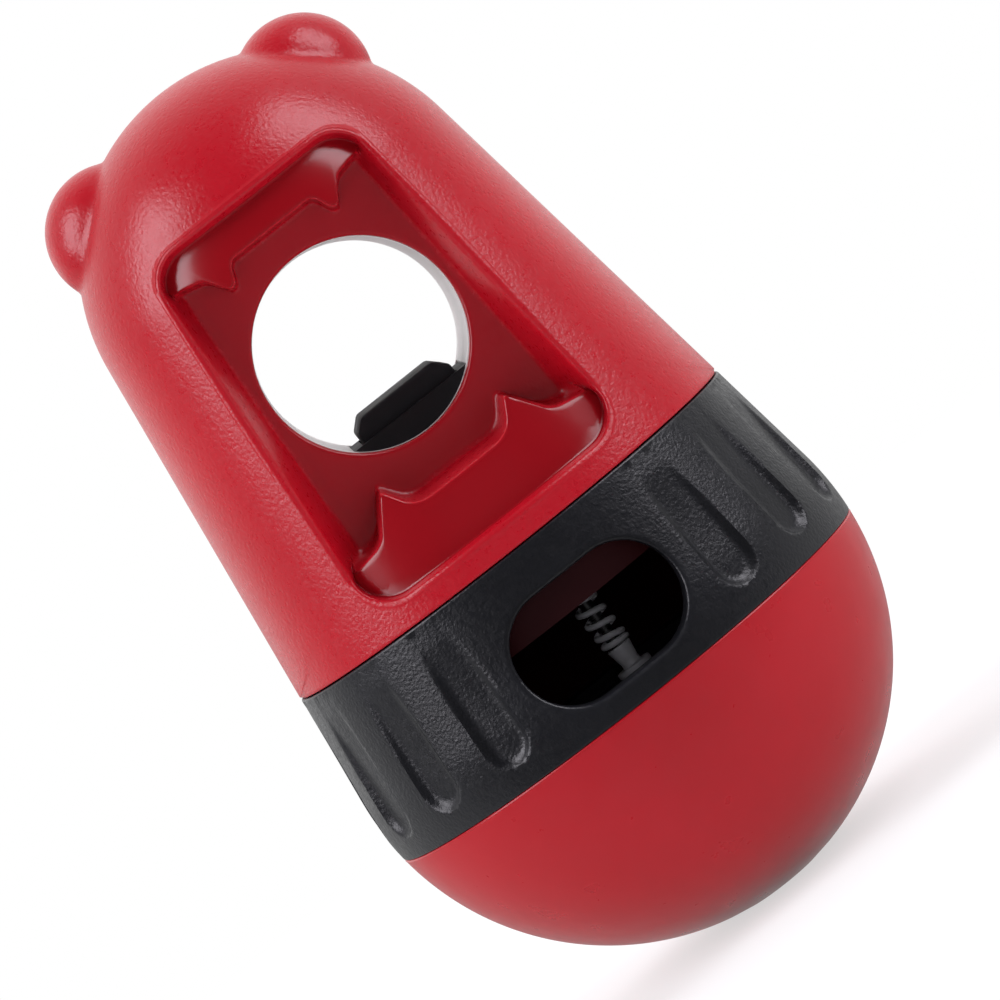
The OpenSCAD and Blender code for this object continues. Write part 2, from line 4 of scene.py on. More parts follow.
import bmesh
import bpy
import numpy as np
from mathutils import Matrix, Vector


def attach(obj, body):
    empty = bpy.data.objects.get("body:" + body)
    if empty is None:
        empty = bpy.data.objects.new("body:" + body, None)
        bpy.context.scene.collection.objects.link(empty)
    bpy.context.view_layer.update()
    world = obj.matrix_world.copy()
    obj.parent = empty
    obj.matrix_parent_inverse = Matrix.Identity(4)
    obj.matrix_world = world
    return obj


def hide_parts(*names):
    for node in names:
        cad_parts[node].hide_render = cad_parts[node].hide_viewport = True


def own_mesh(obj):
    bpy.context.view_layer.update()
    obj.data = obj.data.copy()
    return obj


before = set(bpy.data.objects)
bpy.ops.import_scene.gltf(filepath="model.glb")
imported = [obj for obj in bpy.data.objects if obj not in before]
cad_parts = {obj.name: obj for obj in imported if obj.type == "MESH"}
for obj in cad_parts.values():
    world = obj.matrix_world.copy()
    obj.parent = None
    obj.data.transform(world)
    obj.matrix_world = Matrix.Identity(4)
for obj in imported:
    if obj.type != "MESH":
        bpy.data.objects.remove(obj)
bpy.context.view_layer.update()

# Camera: a long lens a little above the toy. The toy stands upright on its flat and the camera is
# rolled, so that the head leans to the upper left of the picture.
scene = bpy.context.scene
aim = Vector((0.0025, 0.0, 0.08005))
camera_distance = 1.0969
camera_tilt = math.radians(2.96)
camera_swing = math.radians(1.13)
camera_roll = math.radians(38.37)
ahead = Vector((math.sin(camera_swing) * math.cos(camera_tilt),
                math.cos(camera_swing) * math.cos(camera_tilt), -math.sin(camera_tilt)))
level = Vector((math.cos(camera_swing), -math.sin(camera_swing), 0.0))
above = level.cross(ahead)
right = math.cos(camera_roll) * level - math.sin(camera_roll) * above
upward = math.sin(camera_roll) * level + math.cos(camera_roll) * above
camera_data = bpy.data.cameras.new("camera")
camera_data.sensor_width = 36.0
camera_data.lens = 234.0
camera_data.clip_end = 30.0


def placed(name, data):
    """A new object in the scene."""
    thing = bpy.data.objects.new(name, data)
    scene.collection.objects.link(thing)
    return thing


camera = placed("camera", camera_data)
camera.matrix_world = (Matrix.Translation(aim - camera_distance * ahead)
                       @ Matrix((right, upward, -ahead)).transposed().to_4x4())
scene.camera = camera
scene.view_settings.view_transform = "Standard"

# Studio: a white room that is darker on the camera's side, a tall soft box on each side of the toy, and
# weak fills above, in front and behind that show in no gloss. The floor is pale and keeps the shadow.
fill_front, fill_back = 0.08, 0.7
mirror_front, mirror_back = 0.06, 1.0
lamp_colour = (1.0, 0.975, 1.05)
lit_middle = Vector((0.0, 0.0, 0.09))
floor_half = 6.0
floor_grey = 0.84
floor_mirror_front, floor_mirror_back = 0.05, 0.5
shadow_near, shadow_far, shadow_glow = 0.05, 0.55, 0.6
room = bpy.data.worlds.new("studio")
scene.world = room
room.use_nodes = True
room_tree = room.node_tree
room_tree.nodes.clear()


def feed(socket, value):
    """Puts a number, a vector or another socket into a socket."""
    if isinstance(value, bpy.types.NodeSocket):
        socket.id_data.links.new(value, socket)
    else:
        socket.default_value = value


def step(tree, kind, out=0, props=None, **values):
    """A node with its inputs fed, by name with _ for a space, or by number as in_0."""
    node = tree.nodes.new(kind)
    for prop, value in (props or {}).items():
        setattr(node, prop, value)
    for key, value in values.items():
        place = int(key[3:]) if key.startswith("in_") else key.replace("_", " ")
        feed(node.inputs[place], value)
    return node.outputs[out]


def calc(tree, operation, *values):
    """Result of one sum."""
    inputs = {f"in_{i}": value for i, value in enumerate(values)}
    return step(tree, "ShaderNodeMath", 0, {"operation": operation}, **inputs)


def ranged(value, low, high, to_low, to_high):
    """The value of a socket mapped from one range to another."""
    return step(value.id_data, "ShaderNodeMapRange", Value=value, From_Min=low, From_Max=high,
                To_Min=to_low, To_Max=to_high)


def on_rays(tree, *kinds):
    """Socket that is 1 on rays of any of the kinds."""
    shown, *others = (step(tree, "ShaderNodeLightPath", kind) for kind in kinds)
    for other in others:
        shown = calc(tree, "MAXIMUM", shown, other)
    return shown


to_back = step(room_tree, "ShaderNodeSeparateXYZ", "Y",
               in_0=step(room_tree, "ShaderNodeTexCoord", "Generated"))
fill = ranged(to_back, -0.7, 0.4, fill_front, fill_back)
mirrored_room = ranged(to_back, 0.1, 0.8, mirror_front, mirror_back)
in_mirrors = on_rays(room_tree, "Is Glossy Ray", "Is Transmission Ray")
light_level = ranged(in_mirrors, 0.0, 1.0, fill, mirrored_room)
light_level = ranged(on_rays(room_tree, "Is Camera Ray"), 0.0, 1.0, light_level, 1.0)
room_light = step(room_tree, "ShaderNodeBackground", Color=(1.0, 1.0, 1.0, 1.0), Strength=light_level)
feed(room_tree.nodes.new("ShaderNodeOutputWorld").inputs["Surface"], room_light)
for name, azimuth, elevation, distance, width, height, watts in (
        ("soft_box_left", -74, 38, 1.5, 0.8, 1.4, 17.5),
        ("soft_box_right", 74, 38, 1.5, 0.8, 1.4, 16.0),
        ("top_fill", 180, 65, 1.5, 1.0, 0.7, 5.0),
        ("front_fill", 0, 7, 1.7, 1.6, 0.5, 2.9),
        ("back_fill_left", -140, 22, 1.6, 1.0, 0.8, 4.5),
        ("back_fill_right", 140, 22, 1.6, 1.0, 0.8, 4.5)):
    light = bpy.data.lights.new(name, "AREA")
    light.shape = "RECTANGLE"
    light.size, light.size_y = width, height
    light.energy = watts
    light.color = lamp_colour
    a, e = math.radians(azimuth), math.radians(elevation)
    way = Vector((math.sin(a) * math.cos(e), -math.cos(a) * math.cos(e), math.sin(e)))
    lamp = placed(name, light)
    lamp.matrix_world = (Matrix.Translation(lit_middle + distance * way)
                         @ way.to_track_quat("Z", "Y").to_matrix().to_4x4())
    lamp.visible_glossy = "fill" not in name

floor_mesh = bpy.data.meshes.new("floor")
floor_mesh.from_pydata([(sx * floor_half, sy * floor_half, 0.0)
                        for sx, sy in ((-1, -1), (1, -1), (1, 1), (-1, 1))], [], [(0, 1, 2, 3)])
floor = placed("floor", floor_mesh)
pale_floor = bpy.data.materials.new("pale_floor")
pale_floor.use_nodes = True
floor_tree = pale_floor.node_tree
floor_tree.nodes.clear()
where = step(floor_tree, "ShaderNodeTexCoord", "Object")
to_back = step(floor_tree, "ShaderNodeSeparateXYZ", "Y", in_0=where)
mirrored_floor = ranged(to_back, -0.15, -0.04, floor_mirror_front, floor_mirror_back)
seen = on_rays(floor_tree, "Is Camera Ray")
in_gloss = on_rays(floor_tree, "Is Glossy Ray", "Is Transmission Ray")
from_middle = step(floor_tree, "ShaderNodeVectorMath", "Value", {"operation": "LENGTH"}, in_0=where)
fade = ranged(from_middle, shadow_near, shadow_far, shadow_glow, 1.0)
matt = step(floor_tree, "ShaderNodeBsdfDiffuse", Color=(floor_grey, floor_grey, floor_grey, 1.0))
glow = step(floor_tree, "ShaderNodeEmission", Strength=ranged(seen, 0.0, 1.0, mirrored_floor, 1.0))
floor_light = step(floor_tree, "ShaderNodeMixShader", Fac=ranged(seen, 0.0, 1.0, in_gloss, fade),
                   in_1=matt, in_2=glow)
feed(floor_tree.nodes.new("ShaderNodeOutputMaterial").inputs["Surface"], floor_light)
floor_mesh.materials.append(pale_floor)

# Base cup: the weighted round foot of the toy, moulded in smooth satin red plastic and cut flat below.
# A tongue on its rim goes up into the waist band, and three bosses inside take the cover's screws.
mm = 0.001
base_r, base_in_r, base_z = 48.095, 45.3, 47.4
flat_r, flat_round, ball_start = 8.2, 2.0, (10.6, 0.62)
low_seam_z, low_seam_r, seam_round = 42.5, 47.85, 0.35
tongue_r, tongue_h = 44.4, 4.0
bore_r = 42.0
boss_r, boss_ring, boss_low_z, boss_top_z = 3.4, 20.0, 2.0, 17.0
boss_angles = (90, 210, 330)
pilot_r, pilot_low_z = 1.15, 9.75
boss_end_r, boss_end_z, boss_end_top_z = 46.7, 0.6, 40.0


def bend(before, corner, after, radius, steps=5):
    """Points of an arc that rounds a corner, over less than half of either side."""
    before, corner, after = (np.asarray(p, float) for p in (before, corner, after))
    sides = [p - corner for p in (before, after)]
    long = [np.linalg.norm(s) for s in sides]
    ways = [s / n for s, n in zip(sides, long)]
    half = math.acos(float(np.clip(ways[0] @ ways[1], -1, 1))) / 2
    if half > 1.57:
        return corner[None]
    leg = min(radius / math.tan(half), 0.49 * long[0], 0.49 * long[1])
    hub = corner + (ways[0] + ways[1]) / (2 * math.cos(half)) * leg / math.cos(half)
    start, stop = (corner + leg * way - hub for way in ways)
    sweep = math.pi - 2 * half
    u = np.linspace(0, 1, steps)[:, None]
    return hub + (np.sin((1 - u) * sweep) * start + np.sin(u * sweep) * stop) / math.sin(sweep)


def rounded(corners, steps=5):
    """A line through corners given as (a, b) or (a, b, radius), its inner corners rounded."""
    places = [np.asarray(corner[:2], float) for corner in corners]
    line = [places[0][None]]
    for i in range(1, len(corners) - 1):
        if len(corners[i]) > 2:
            line.append(bend(places[i - 1], places[i], places[i + 1], corners[i][2], steps))
        else:
            line.append(places[i][None])
    return np.concatenate(line + [places[-1][None]])


def ball_arc(radius, centre_z, z0, z1, steps):
    """(radius, height) points on a ball between two heights."""
    a = np.linspace(math.asin((z0 - centre_z) / radius), math.asin((z1 - centre_z) / radius), steps)
    return [(radius * math.cos(t), centre_z + radius * math.sin(t)) for t in a]


def skin(name, points, faces, crisp=35.0, marks=None):
    """A mesh from points in millimetres: doubles merged, faces outwards, smooth but for crisp edges."""
    mesh = bpy.data.meshes.new(name)
    mesh.from_pydata((np.asarray(points, float) * mm).tolist(), [], faces)
    for mark, values in (marks or {}).items():
        mesh.attributes.new(mark, "FLOAT", "POINT").data.foreach_set("value", np.asarray(values, float))
    work = bmesh.new()
    work.from_mesh(mesh)
    bmesh.ops.remove_doubles(work, verts=work.verts, dist=0.003 * mm)
    bmesh.ops.recalc_face_normals(work, faces=work.faces)
    work.to_mesh(mesh)
    work.free()
    mesh.shade_smooth()
    mesh.set_sharp_from_angle(angle=math.radians(crisp))
    return placed(name, mesh)


def turned(profile, steps, centre=(0.0, 0.0)):
    """Points and faces of a piece turned round an upright axis from a closed (radius, height) line."""
    profile = np.asarray(profile, float)
    a = np.linspace(0, 2 * math.pi, steps, endpoint=False)
    points = np.stack([centre[0] + profile[:, :1] * np.cos(a), centre[1] + profile[:, :1] * np.sin(a),
                       profile[:, 1:] + 0 * a], -1).reshape(-1, 3)
    count = len(profile)
    faces = [(i * steps + k, i * steps + (k + 1) % steps,
              (i + 1) % count * steps + (k + 1) % steps, (i + 1) % count * steps + k)
             for i in range(count) for k in range(steps)
             if not (profile[i, 0] < 1e-6 and profile[(i + 1) % count, 0] < 1e-6)]
    return points, faces


def as_evaluated(piece):
    """The piece's mesh with its modifiers in it, which are then removed."""
    seen = piece.evaluated_get(bpy.context.evaluated_depsgraph_get())
    mesh = bpy.data.meshes.new_from_object(seen)
    piece.modifiers.clear()
    return mesh


def trimmed(piece, tools, operation):
    """The piece joined with, or cut by, the tools, which are used up."""
    for tool in tools:
        change = piece.modifiers.new("trim", "BOOLEAN")
        change.operation, change.solver, change.object = operation, "EXACT", tool
    piece.data = as_evaluated(piece)
    for tool in tools:
        bpy.data.objects.remove(tool)
    return piece


def dressed(piece, material, body, slot, *stands_for):
    """Gives a finished piece its material and its body, and hides the solids that it stands for; slot is
    not used.
    """
    piece.data.materials.clear()
    piece.data.materials.append(material)
    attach(piece, body)
    if stands_for:
        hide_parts(*stands_for)


def start_material(name, metal=0.0, shine=0.5):
    """A new node material and its shader."""
    material = bpy.data.materials.new(name)
    material.use_nodes = True
    shader = material.node_tree.nodes["Principled BSDF"]
    shader.inputs["Metallic"].default_value = metal
    shader.inputs["Specular IOR Level"].default_value = shine
    return material, shader


def speckle(shader, per_metre, detail, stretch=(1.0, 1.0, 1.0)):
    """Value of a noise on the piece's own coordinates, in the shader's nodes."""
    tree = shader.id_data
    place = step(tree, "ShaderNodeTexCoord", "Object")
    place = step(tree, "ShaderNodeMapping", Vector=place, Scale=stretch)
    return step(tree, "ShaderNodeTexNoise", "Fac", Vector=place, Scale=per_metre, Detail=detail)


def tinted(shader, value, one, other):
    """Base colour between two tones, chosen by a value."""
    tone = step(shader.id_data, "ShaderNodeMix", "Result", {"data_type": "RGBA"}, Factor=value,
                A=(*one, 1.0), B=(*other, 1.0))
    feed(shader.inputs["Base Color"], tone)


def roughened(shader, value, smooth, rough, low=0.3, high=0.7):
    """Roughness between two numbers, chosen by a value that runs from low to high."""
    feed(shader.inputs["Roughness"], ranged(value, low, high, smooth, rough))


def embossed(shader, height, depth, strength):
    """Bump of the given depth in metres."""
    bump = step(shader.id_data, "ShaderNodeBump", Distance=depth, Strength=strength, Height=height)
    feed(shader.inputs["Normal"], bump)


def moulded(name, colour, shade, gloss, grain, depth, strength=0.5, shine=0.5):
    """Moulded plastic: two close tones, a roughness between the two of gloss, and a fine grain."""
    material, shader = start_material(name, shine=shine)
    tinted(shader, ranged(speckle(shader, 45.0, 3.0), 0.35, 0.65, 0.0, 1.0), colour, shade)
    roughened(shader, speckle(shader, 160.0, 4.0), *gloss)
    embossed(shader, speckle(shader, grain, 2.0), depth, strength)
    return material


tongue_top_z = low_seam_z + tongue_h
base_profile = np.concatenate([
    [(0.0, 0.0)],
    bend((0.0, 0.0), (flat_r, 0.0), ball_start, flat_round),
    ball_arc(base_r, base_z, 0.9, low_seam_z - seam_round, 60),
    bend((low_seam_r + 0.03, low_seam_z - 1.0), (low_seam_r, low_seam_z), (46.5, low_seam_z), seam_round),
    [(tongue_r, low_seam_z)],
    bend((tongue_r, low_seam_z), (tongue_r, tongue_top_z), (bore_r, tongue_top_z), 0.4),
    [(bore_r, tongue_top_z), (bore_r, low_seam_z - tongue_h)],
    ball_arc(base_in_r, base_z, low_seam_z - tongue_h, 2.2, 40),
    [(0.0, base_z - base_in_r)]])
base_cup = skin("base_cup_shell", *turned(base_profile, 180))
boss_profile = [(pilot_r, pilot_low_z), (pilot_r, boss_top_z), (boss_r, boss_top_z), (boss_r, boss_low_z),
                (0.0, boss_low_z), (0.0, pilot_low_z)]
boss_end_profile = ([(0.0, boss_end_z)] + ball_arc(boss_end_r, base_z, boss_end_z + 0.2, boss_end_top_z, 40)
                    + [(0.0, boss_end_top_z)])
bosses = []
for a in np.radians(boss_angles):
    boss = skin("boss", *turned(boss_profile, 24, (boss_ring * math.cos(a), boss_ring * math.sin(a))))
    boss_end = skin("boss_end", *turned(boss_end_profile, 96))
    bosses.append(trimmed(boss, [boss_end], "INTERSECT"))
base_cup = trimmed(base_cup, bosses, "UNION")
base_cup.data.shade_smooth()
base_cup.data.set_sharp_from_angle(angle=math.radians(35))
base_red = moulded("base_red", colour=(0.435, 0.0045, 0.0125), shade=(0.405, 0.004, 0.0105),
                   gloss=(0.27, 0.34), grain=1500.0, depth=0.00002, strength=0.35, shine=0.4)
dressed(base_cup, base_red, "base", "red_base", "base_cup")

# Ballast weight: a lens of cast iron in the bottom of the cup, with the rough skin of a sand casting.
# It keeps the toy upright. The flat cover over it is the floor of the treat store.
cast_iron, shader = start_material("cast_iron", metal=1.0)
tinted(shader, ranged(speckle(shader, 220.0, 5.0), 0.35, 0.7, 0.0, 1.0),
       (0.16, 0.16, 0.165), (0.07, 0.066, 0.062))
roughened(shader, speckle(shader, 500.0, 3.0), smooth=0.5, rough=0.8)
embossed(shader, speckle(shader, 700.0, 5.0), depth=0.0002, strength=0.8)
dressed_nodes = {"ballast_weight": cast_iron}

# Weight cover, seat spider and gate disc: flat mouldings in matt black plastic. The cover is screwed
# over the weight, the spider to the drum's lower edge, and the gate hangs on the rod under the spider.
inner_black = moulded("inner_black", colour=(0.016, 0.016, 0.018), shade=(0.012, 0.012, 0.013),
                      gloss=(0.5, 0.62), grain=1200.0, depth=0.00004)
for name in ("weight_cover", "seat_spider", "gate_disc"):
    dressed_nodes[name] = inner_black

# Waist band: a ring of charcoal plastic with a leather-like grain, welded to the cup's tongue. Grip
# flutes run all round it except beside the outlet, a rounded window through which treats fall.
dome_r, dome_z = 35.95, 133.2
lean = math.asin((base_r - dome_r) / (dome_z - base_z))
top_seam_z = 74.5
band_turn = math.radians(2.2)
band_low_round, band_top_round, bore_chamfer = 0.3, 0.4, 0.4
tongue_gap = 0.05
outlet_w, outlet_h, outlet_corner, outlet_z = 30.8, 19.95, 9.7, 56.775
outlet_round = 1.1
patch_degrees, patch_clear = 23.5, 0.7
patch_half = math.radians(patch_degrees)
flute_first, flute_pitch, flute_reach = 30, 20, 6.5
flute_toe_z, flute_ball_z, flute_out_z = 45.6, 52.0, 68.0
flute_wall_power, flute_wall_cap = 7.0, 6.0


def body_radius(z, inset=0.0):
    """Radius of the body's outer form at a height, or of the form that lies inset under it."""
    z = np.asarray(z, float)
    low, top = base_r - inset, dome_r - inset
    low_join, top_join = base_z + low * math.sin(lean), dome_z + top * math.sin(lean)
    ball = np.sqrt(np.maximum(low ** 2 - (z - base_z) ** 2, 0))
    dome = np.sqrt(np.maximum(top ** 2 - (z - dome_z) ** 2, 0))
    side = low * math.cos(lean) - (z - low_join) * math.tan(lean)
    return np.where(z < low_join, ball, np.where(z > top_join, dome, side))


def spaced(*runs):
    """Numbers along runs of (start, end, steps), with shared ends once."""
    parts = [np.linspace(a, b, n, endpoint=False) for a, b, n in runs]
    return np.concatenate(parts + [[runs[-1][1]]])


def polar_reach(outline, angles, centre):
    """Distance from a centre to an outline along each angle, which is taken from up, clockwise."""
    fine_step = 0.15
    line = np.asarray(outline, float) - centre
    cuts = [np.linspace(a, b, max(2, int(np.hypot(*(b - a)) / fine_step)), endpoint=False)
            for a, b in zip(line[:-1], line[1:])]
    line = np.concatenate(cuts + [line[-1:]])
    turn = np.maximum.accumulate(np.unwrap(np.arctan2(line[:, 0], line[:, 1])))
    return np.interp(angles, turn, np.hypot(line[:, 0], line[:, 1]))


def band_place(x, depth, z):
    """Points of the band: distance across the outlet, depth from the middle plane, height."""
    return np.stack([x * math.cos(band_turn) + depth * math.sin(band_turn),
                     x * math.sin(band_turn) - depth * math.cos(band_turn), z + 0 * x], -1)


rows = spaced((low_seam_z + band_low_round, flute_toe_z, 5), (flute_toe_z, flute_ball_z, 15),
              (flute_ball_z, flute_out_z, 16), (flute_out_z, top_seam_z - band_top_round, 5))
in_low_z = tongue_top_z + tongue_gap
in_rows = in_low_z + (rows - rows[0]) / (rows[-1] - rows[0]) * (top_seam_z - bore_chamfer - in_low_z)
one_flute = spaced((-flute_pitch / 2, -flute_reach, 3), (-flute_reach, flute_reach, 24),
                   (flute_reach, flute_pitch / 2, 3))[:-1]
columns = np.concatenate([c + one_flute for c in range(flute_first, 360 - flute_pitch, flute_pitch)])
columns = columns[np.abs(columns - 180) < 180 - patch_degrees - patch_clear]
turns = np.radians(np.concatenate([[patch_degrees], columns, [360 - patch_degrees]]))
patch_cols = np.linspace(-patch_half, patch_half, 33)
points, faces, on_skin = [], [], []


def add_grid(grid, closed=False, mark=0.0):
    """Adds a grid of points, shape (lines, points, 3), with its faces."""
    first = sum(len(p) for p in points)
    lines, count = grid.shape[:2]
    points.append(grid.reshape(-1, 3))
    on_skin.append(np.full(lines * count, mark))
    faces.extend((first + i * count + k, first + i * count + (k + 1) % count,
                  first + (i + 1) * count + (k + 1) % count, first + (i + 1) * count + k)
                 for i in range(lines - 1) for k in range(count if closed else count - 1))


def band_wall(angles, radii, heights):
    """Grid of the band's surface at given angles from the outlet, with one radius for each height."""
    return np.stack([band_place(r * np.sin(angles), r * np.cos(angles), np.full_like(angles, z))
                     for r, z in zip(radii, heights)])


def seam_bend(seam_z, beside_z, in_r, radius):
    """Rounded corner of the band at a seam, from the outside near it to a radius on the seam's face."""
    return bend((body_radius(beside_z), beside_z), (body_radius(seam_z), seam_z), (in_r, seam_z), radius)


add_grid(band_wall(turns, body_radius(rows), rows), mark=1.0)
add_grid(band_wall(turns, np.full_like(rows, bore_r), in_rows))
ring = np.concatenate([turns, patch_cols[1:-1] + 2 * math.pi])
groove_r = tongue_r + tongue_gap
top_edge = np.concatenate([
    [(body_radius(rows[-1]), rows[-1])],
    seam_bend(top_seam_z, top_seam_z - 1.5, bore_r + 1.0, band_top_round),
    [(bore_r + bore_chamfer, top_seam_z), (bore_r, in_rows[-1])]])
low_edge = np.concatenate([
    [(body_radius(rows[0]), rows[0])],
    seam_bend(low_seam_z, low_seam_z + 1.5, tongue_r + 1.6, band_low_round),
    [(groove_r, low_seam_z), (groove_r, in_rows[0]), (bore_r, in_rows[0])]])
for edge in (top_edge, low_edge):
    add_grid(band_wall(ring, edge[:, 0], edge[:, 1]), closed=True)

# The patch round the outlet: rays from the window's edge to the frame of rows and columns round it
half_w, half_h = outlet_w / 2, outlet_h / 2
corner_x, corner_z = half_w - outlet_corner, half_h - outlet_corner
outlet_line = np.array([(0, half_h)] + [
    (side_x * corner_x + outlet_corner * math.sin(t), side_z * corner_z + outlet_corner * math.cos(t))
    for side_x, side_z, first in ((1, 1, 0), (1, -1, 90), (-1, -1, 180), (-1, 1, 270))
    for t in np.radians(np.linspace(first, first + 90, 16))] + [(0, half_h)])


def frame_round(radius, heights):
    """Points of the patch's frame, clockwise from the top middle, as (across, height)."""
    r = np.broadcast_to(radius, heights.shape)
    middle = len(patch_cols) // 2
    top = np.stack([r[-1] * np.sin(patch_cols), np.full_like(patch_cols, heights[-1])], -1)
    low = np.stack([r[0] * np.sin(patch_cols), np.full_like(patch_cols, heights[0])], -1)
    side = np.stack([r * math.sin(patch_half), heights], -1)
    return np.concatenate([top[middle:-1], side[:0:-1], low[:0:-1], (side * (-1, 1))[:-1], top[:middle]])


def band_depth(across, height):
    """Depth of the band's outside in front of the middle plane."""
    return np.sqrt(body_radius(height) ** 2 - across ** 2)


outer_frame = frame_round(body_radius(rows), rows)
inner_frame = frame_round(bore_r, in_rows)
centre = np.array((0.0, outlet_z))
lean_out = np.arctan2(outer_frame[:, 0], outer_frame[:, 1] - outlet_z) % (2 * math.pi)
lip = polar_reach(outlet_line + centre, lean_out, centre)[:, None]
ray = np.stack([np.sin(lean_out), np.cos(lean_out)], -1)
edge_at = centre + lip * ray
lip_out = centre + (lip + outlet_round) * ray
patch = []
for u in np.linspace(0, 1, 15):
    across, height = (outer_frame * (1 - u) + lip_out * u).T
    patch.append(band_place(across, band_depth(across, height), height))
for u in np.linspace(0, 1, 8)[1:]:
    across, height = (centre + (lip + outlet_round * (1 - u) ** 2) * ray).T
    patch.append(band_place(across, band_depth(across, height) - outlet_round * u ** 2, height))
across, height = edge_at.T
wall_out = band_depth(across, height) - outlet_round
wall_in = np.sqrt(bore_r ** 2 - across ** 2)
for u in (0.35, 0.7, 1.0):
    patch.append(band_place(across, wall_out * (1 - u) + wall_in * u, height))
for u in (0.3, 0.65, 1.0):
    across, height = (edge_at * (1 - u) + inner_frame * u).T
    patch.append(band_place(across, np.sqrt(bore_r ** 2 - across ** 2), height))
add_grid(np.stack(patch), closed=True)
plain_band = skin("plain_band", np.concatenate(points), faces, marks={"skin": np.concatenate(on_skin)})


def new_tree(name, sizes):
    """A geometry node tree with a mesh going in and out and a named input for each size."""
    tree = bpy.data.node_groups.new(name, "GeometryNodeTree")
    tree.interface.new_socket("Geometry", in_out="INPUT", socket_type="NodeSocketGeometry")
    for size in sizes:
        tree.interface.new_socket(size, in_out="INPUT", socket_type="NodeSocketFloat")
    tree.interface.new_socket("Geometry", in_out="OUTPUT", socket_type="NodeSocketGeometry")
    return tree, tree.nodes.new("NodeGroupInput").outputs, tree.nodes.new("NodeGroupOutput").inputs[0]


def sums(tree):
    """Plain words for the sums of one tree."""
    return [partial(calc, tree, word) for word in
            ("MULTIPLY", "ADD", "SUBTRACT", "DIVIDE", "MINIMUM", "MAXIMUM", "POWER", "SQRT")]


def finish_tree(tree, geometry, out, material):
    """Closes a tree: instances made real, material set."""
    real = step(tree, "GeometryNodeRealizeInstances", Geometry=geometry)
    tree.links.new(step(tree, "GeometryNodeSetMaterial", Geometry=real, Material=material), out)


def grown(name, tree, start, sizes):
    """The plain mesh that a tree grows from a start mesh with the given sizes."""
    piece = placed(name, start)
    modifier = piece.modifiers.new("grow", "NODES")
    modifier.node_group = tree
    for item in tree.interface.items_tree:
        if item.in_out == "INPUT" and item.name in sizes:
            modifier[item.identifier] = sizes[item.name]
    piece.data = as_evaluated(piece)
    return piece


band_grain, shader = start_material("band_charcoal", shine=0.55)
tinted(shader, ranged(speckle(shader, 60.0, 3.0), 0.35, 0.65, 0.0, 1.0),
       (0.0088, 0.0092, 0.012), (0.0066, 0.0069, 0.009))
roughened(shader, speckle(shader, 900.0, 3.0), smooth=0.30, rough=0.40, low=0.35, high=0.65)
embossed(shader, speckle(shader, 1700.0, 1.5), depth=0.00014, strength=0.6)

flute_sizes = {"First": math.radians(flute_first), "Pitch": math.radians(flute_pitch), "Last": 7.0,
               "Half width": 4.3, "Depth": 1.25, "Low height": 50.9, "Run": 19.5, "Turn": band_turn,
               "Softness": 0.16}
tree, size, out = new_tree("grip_flutes", flute_sizes)
times, plus, minus, over, least, most, power, root = sums(tree)
spot = step(tree, "GeometryNodeInputPosition")
in_mm = step(tree, "ShaderNodeVectorMath", 0, {"operation": "SCALE"}, in_0=spot, Scale=1000.0)
apart = tree.nodes.new("ShaderNodeSeparateXYZ")
tree.links.new(in_mm, apart.inputs[0])
x, y, z = apart.outputs
round_r = root(plus(times(x, x), times(y, y)))
bearing = minus(calc(tree, "ARCTAN2", x, times(y, -1.0)), size["Turn"])
bearing = calc(tree, "ABSOLUTE", calc(tree, "WRAP", bearing, math.pi, -math.pi))
number = calc(tree, "ROUND", over(minus(bearing, size["First"]), size["Pitch"]))
number = least(most(number, 0.0), size["Last"])
off = minus(bearing, plus(size["First"], times(number, size["Pitch"])))
across = times(round_r, calc(tree, "SINE", off))
rise = minus(z, size["Low height"])
below = least(rise, 0.0)
from_mid = root(plus(times(across, across), times(below, below)))
wall = power(over(from_mid, size["Half width"]), flute_wall_power)
fade_out = power(least(over(most(rise, 0.0), size["Run"]), 1.0), 2.0)
deep = times(size["Depth"], minus(1.0, fade_out))
hollow = minus(deep, times(least(wall, flute_wall_cap), size["Depth"]))
softened = root(plus(times(hollow, hollow), times(size["Softness"], size["Softness"])))
cut = times(plus(hollow, softened), 0.5)
mark = step(tree, "GeometryNodeInputNamedAttribute", 0, {"data_type": "FLOAT"}, Name="skin")
share = over(times(times(cut, mark), -mm), round_r)
flat_way = step(tree, "ShaderNodeCombineXYZ", X=x, Y=y)
move = step(tree, "ShaderNodeVectorMath", 0, {"operation": "SCALE"}, in_0=flat_way, Scale=share)
fluted = step(tree, "GeometryNodeSetPosition", Geometry=size["Geometry"], Offset=move)
finish_tree(tree, fluted, out, band_grain)
waist_band = grown("waist_band_ring", tree, plain_band.data, flute_sizes)
bpy.data.objects.remove(plain_band)
waist_band.data.set_sharp_from_angle(angle=math.radians(35))
dressed(waist_band, band_grain, "base", "band_charcoal", "waist_band")

# Seal ring: a round cord of soft black rubber in the drum's groove. It drags in the band's bore and
# keeps treats and water out of the screw joint.
seal_mid_r, seal_cord_r, seal_z = 41.13, 0.8, 71.6
seal_black = moulded("seal_black", colour=(0.02, 0.02, 0.02), shade=(0.015, 0.015, 0.015),
                     gloss=(0.6, 0.75), grain=2500.0, depth=0.00002)
a = np.linspace(0, 2 * math.pi, 17)[:-1]
seal_profile = np.stack([seal_mid_r + seal_cord_r * np.cos(a), seal_z + seal_cord_r * np.sin(a)], -1)
seal_ring = skin("seal_cord", *turned(seal_profile, 144))
dressed(seal_ring, seal_black, "seal", "seal_rubber", "seal_ring")
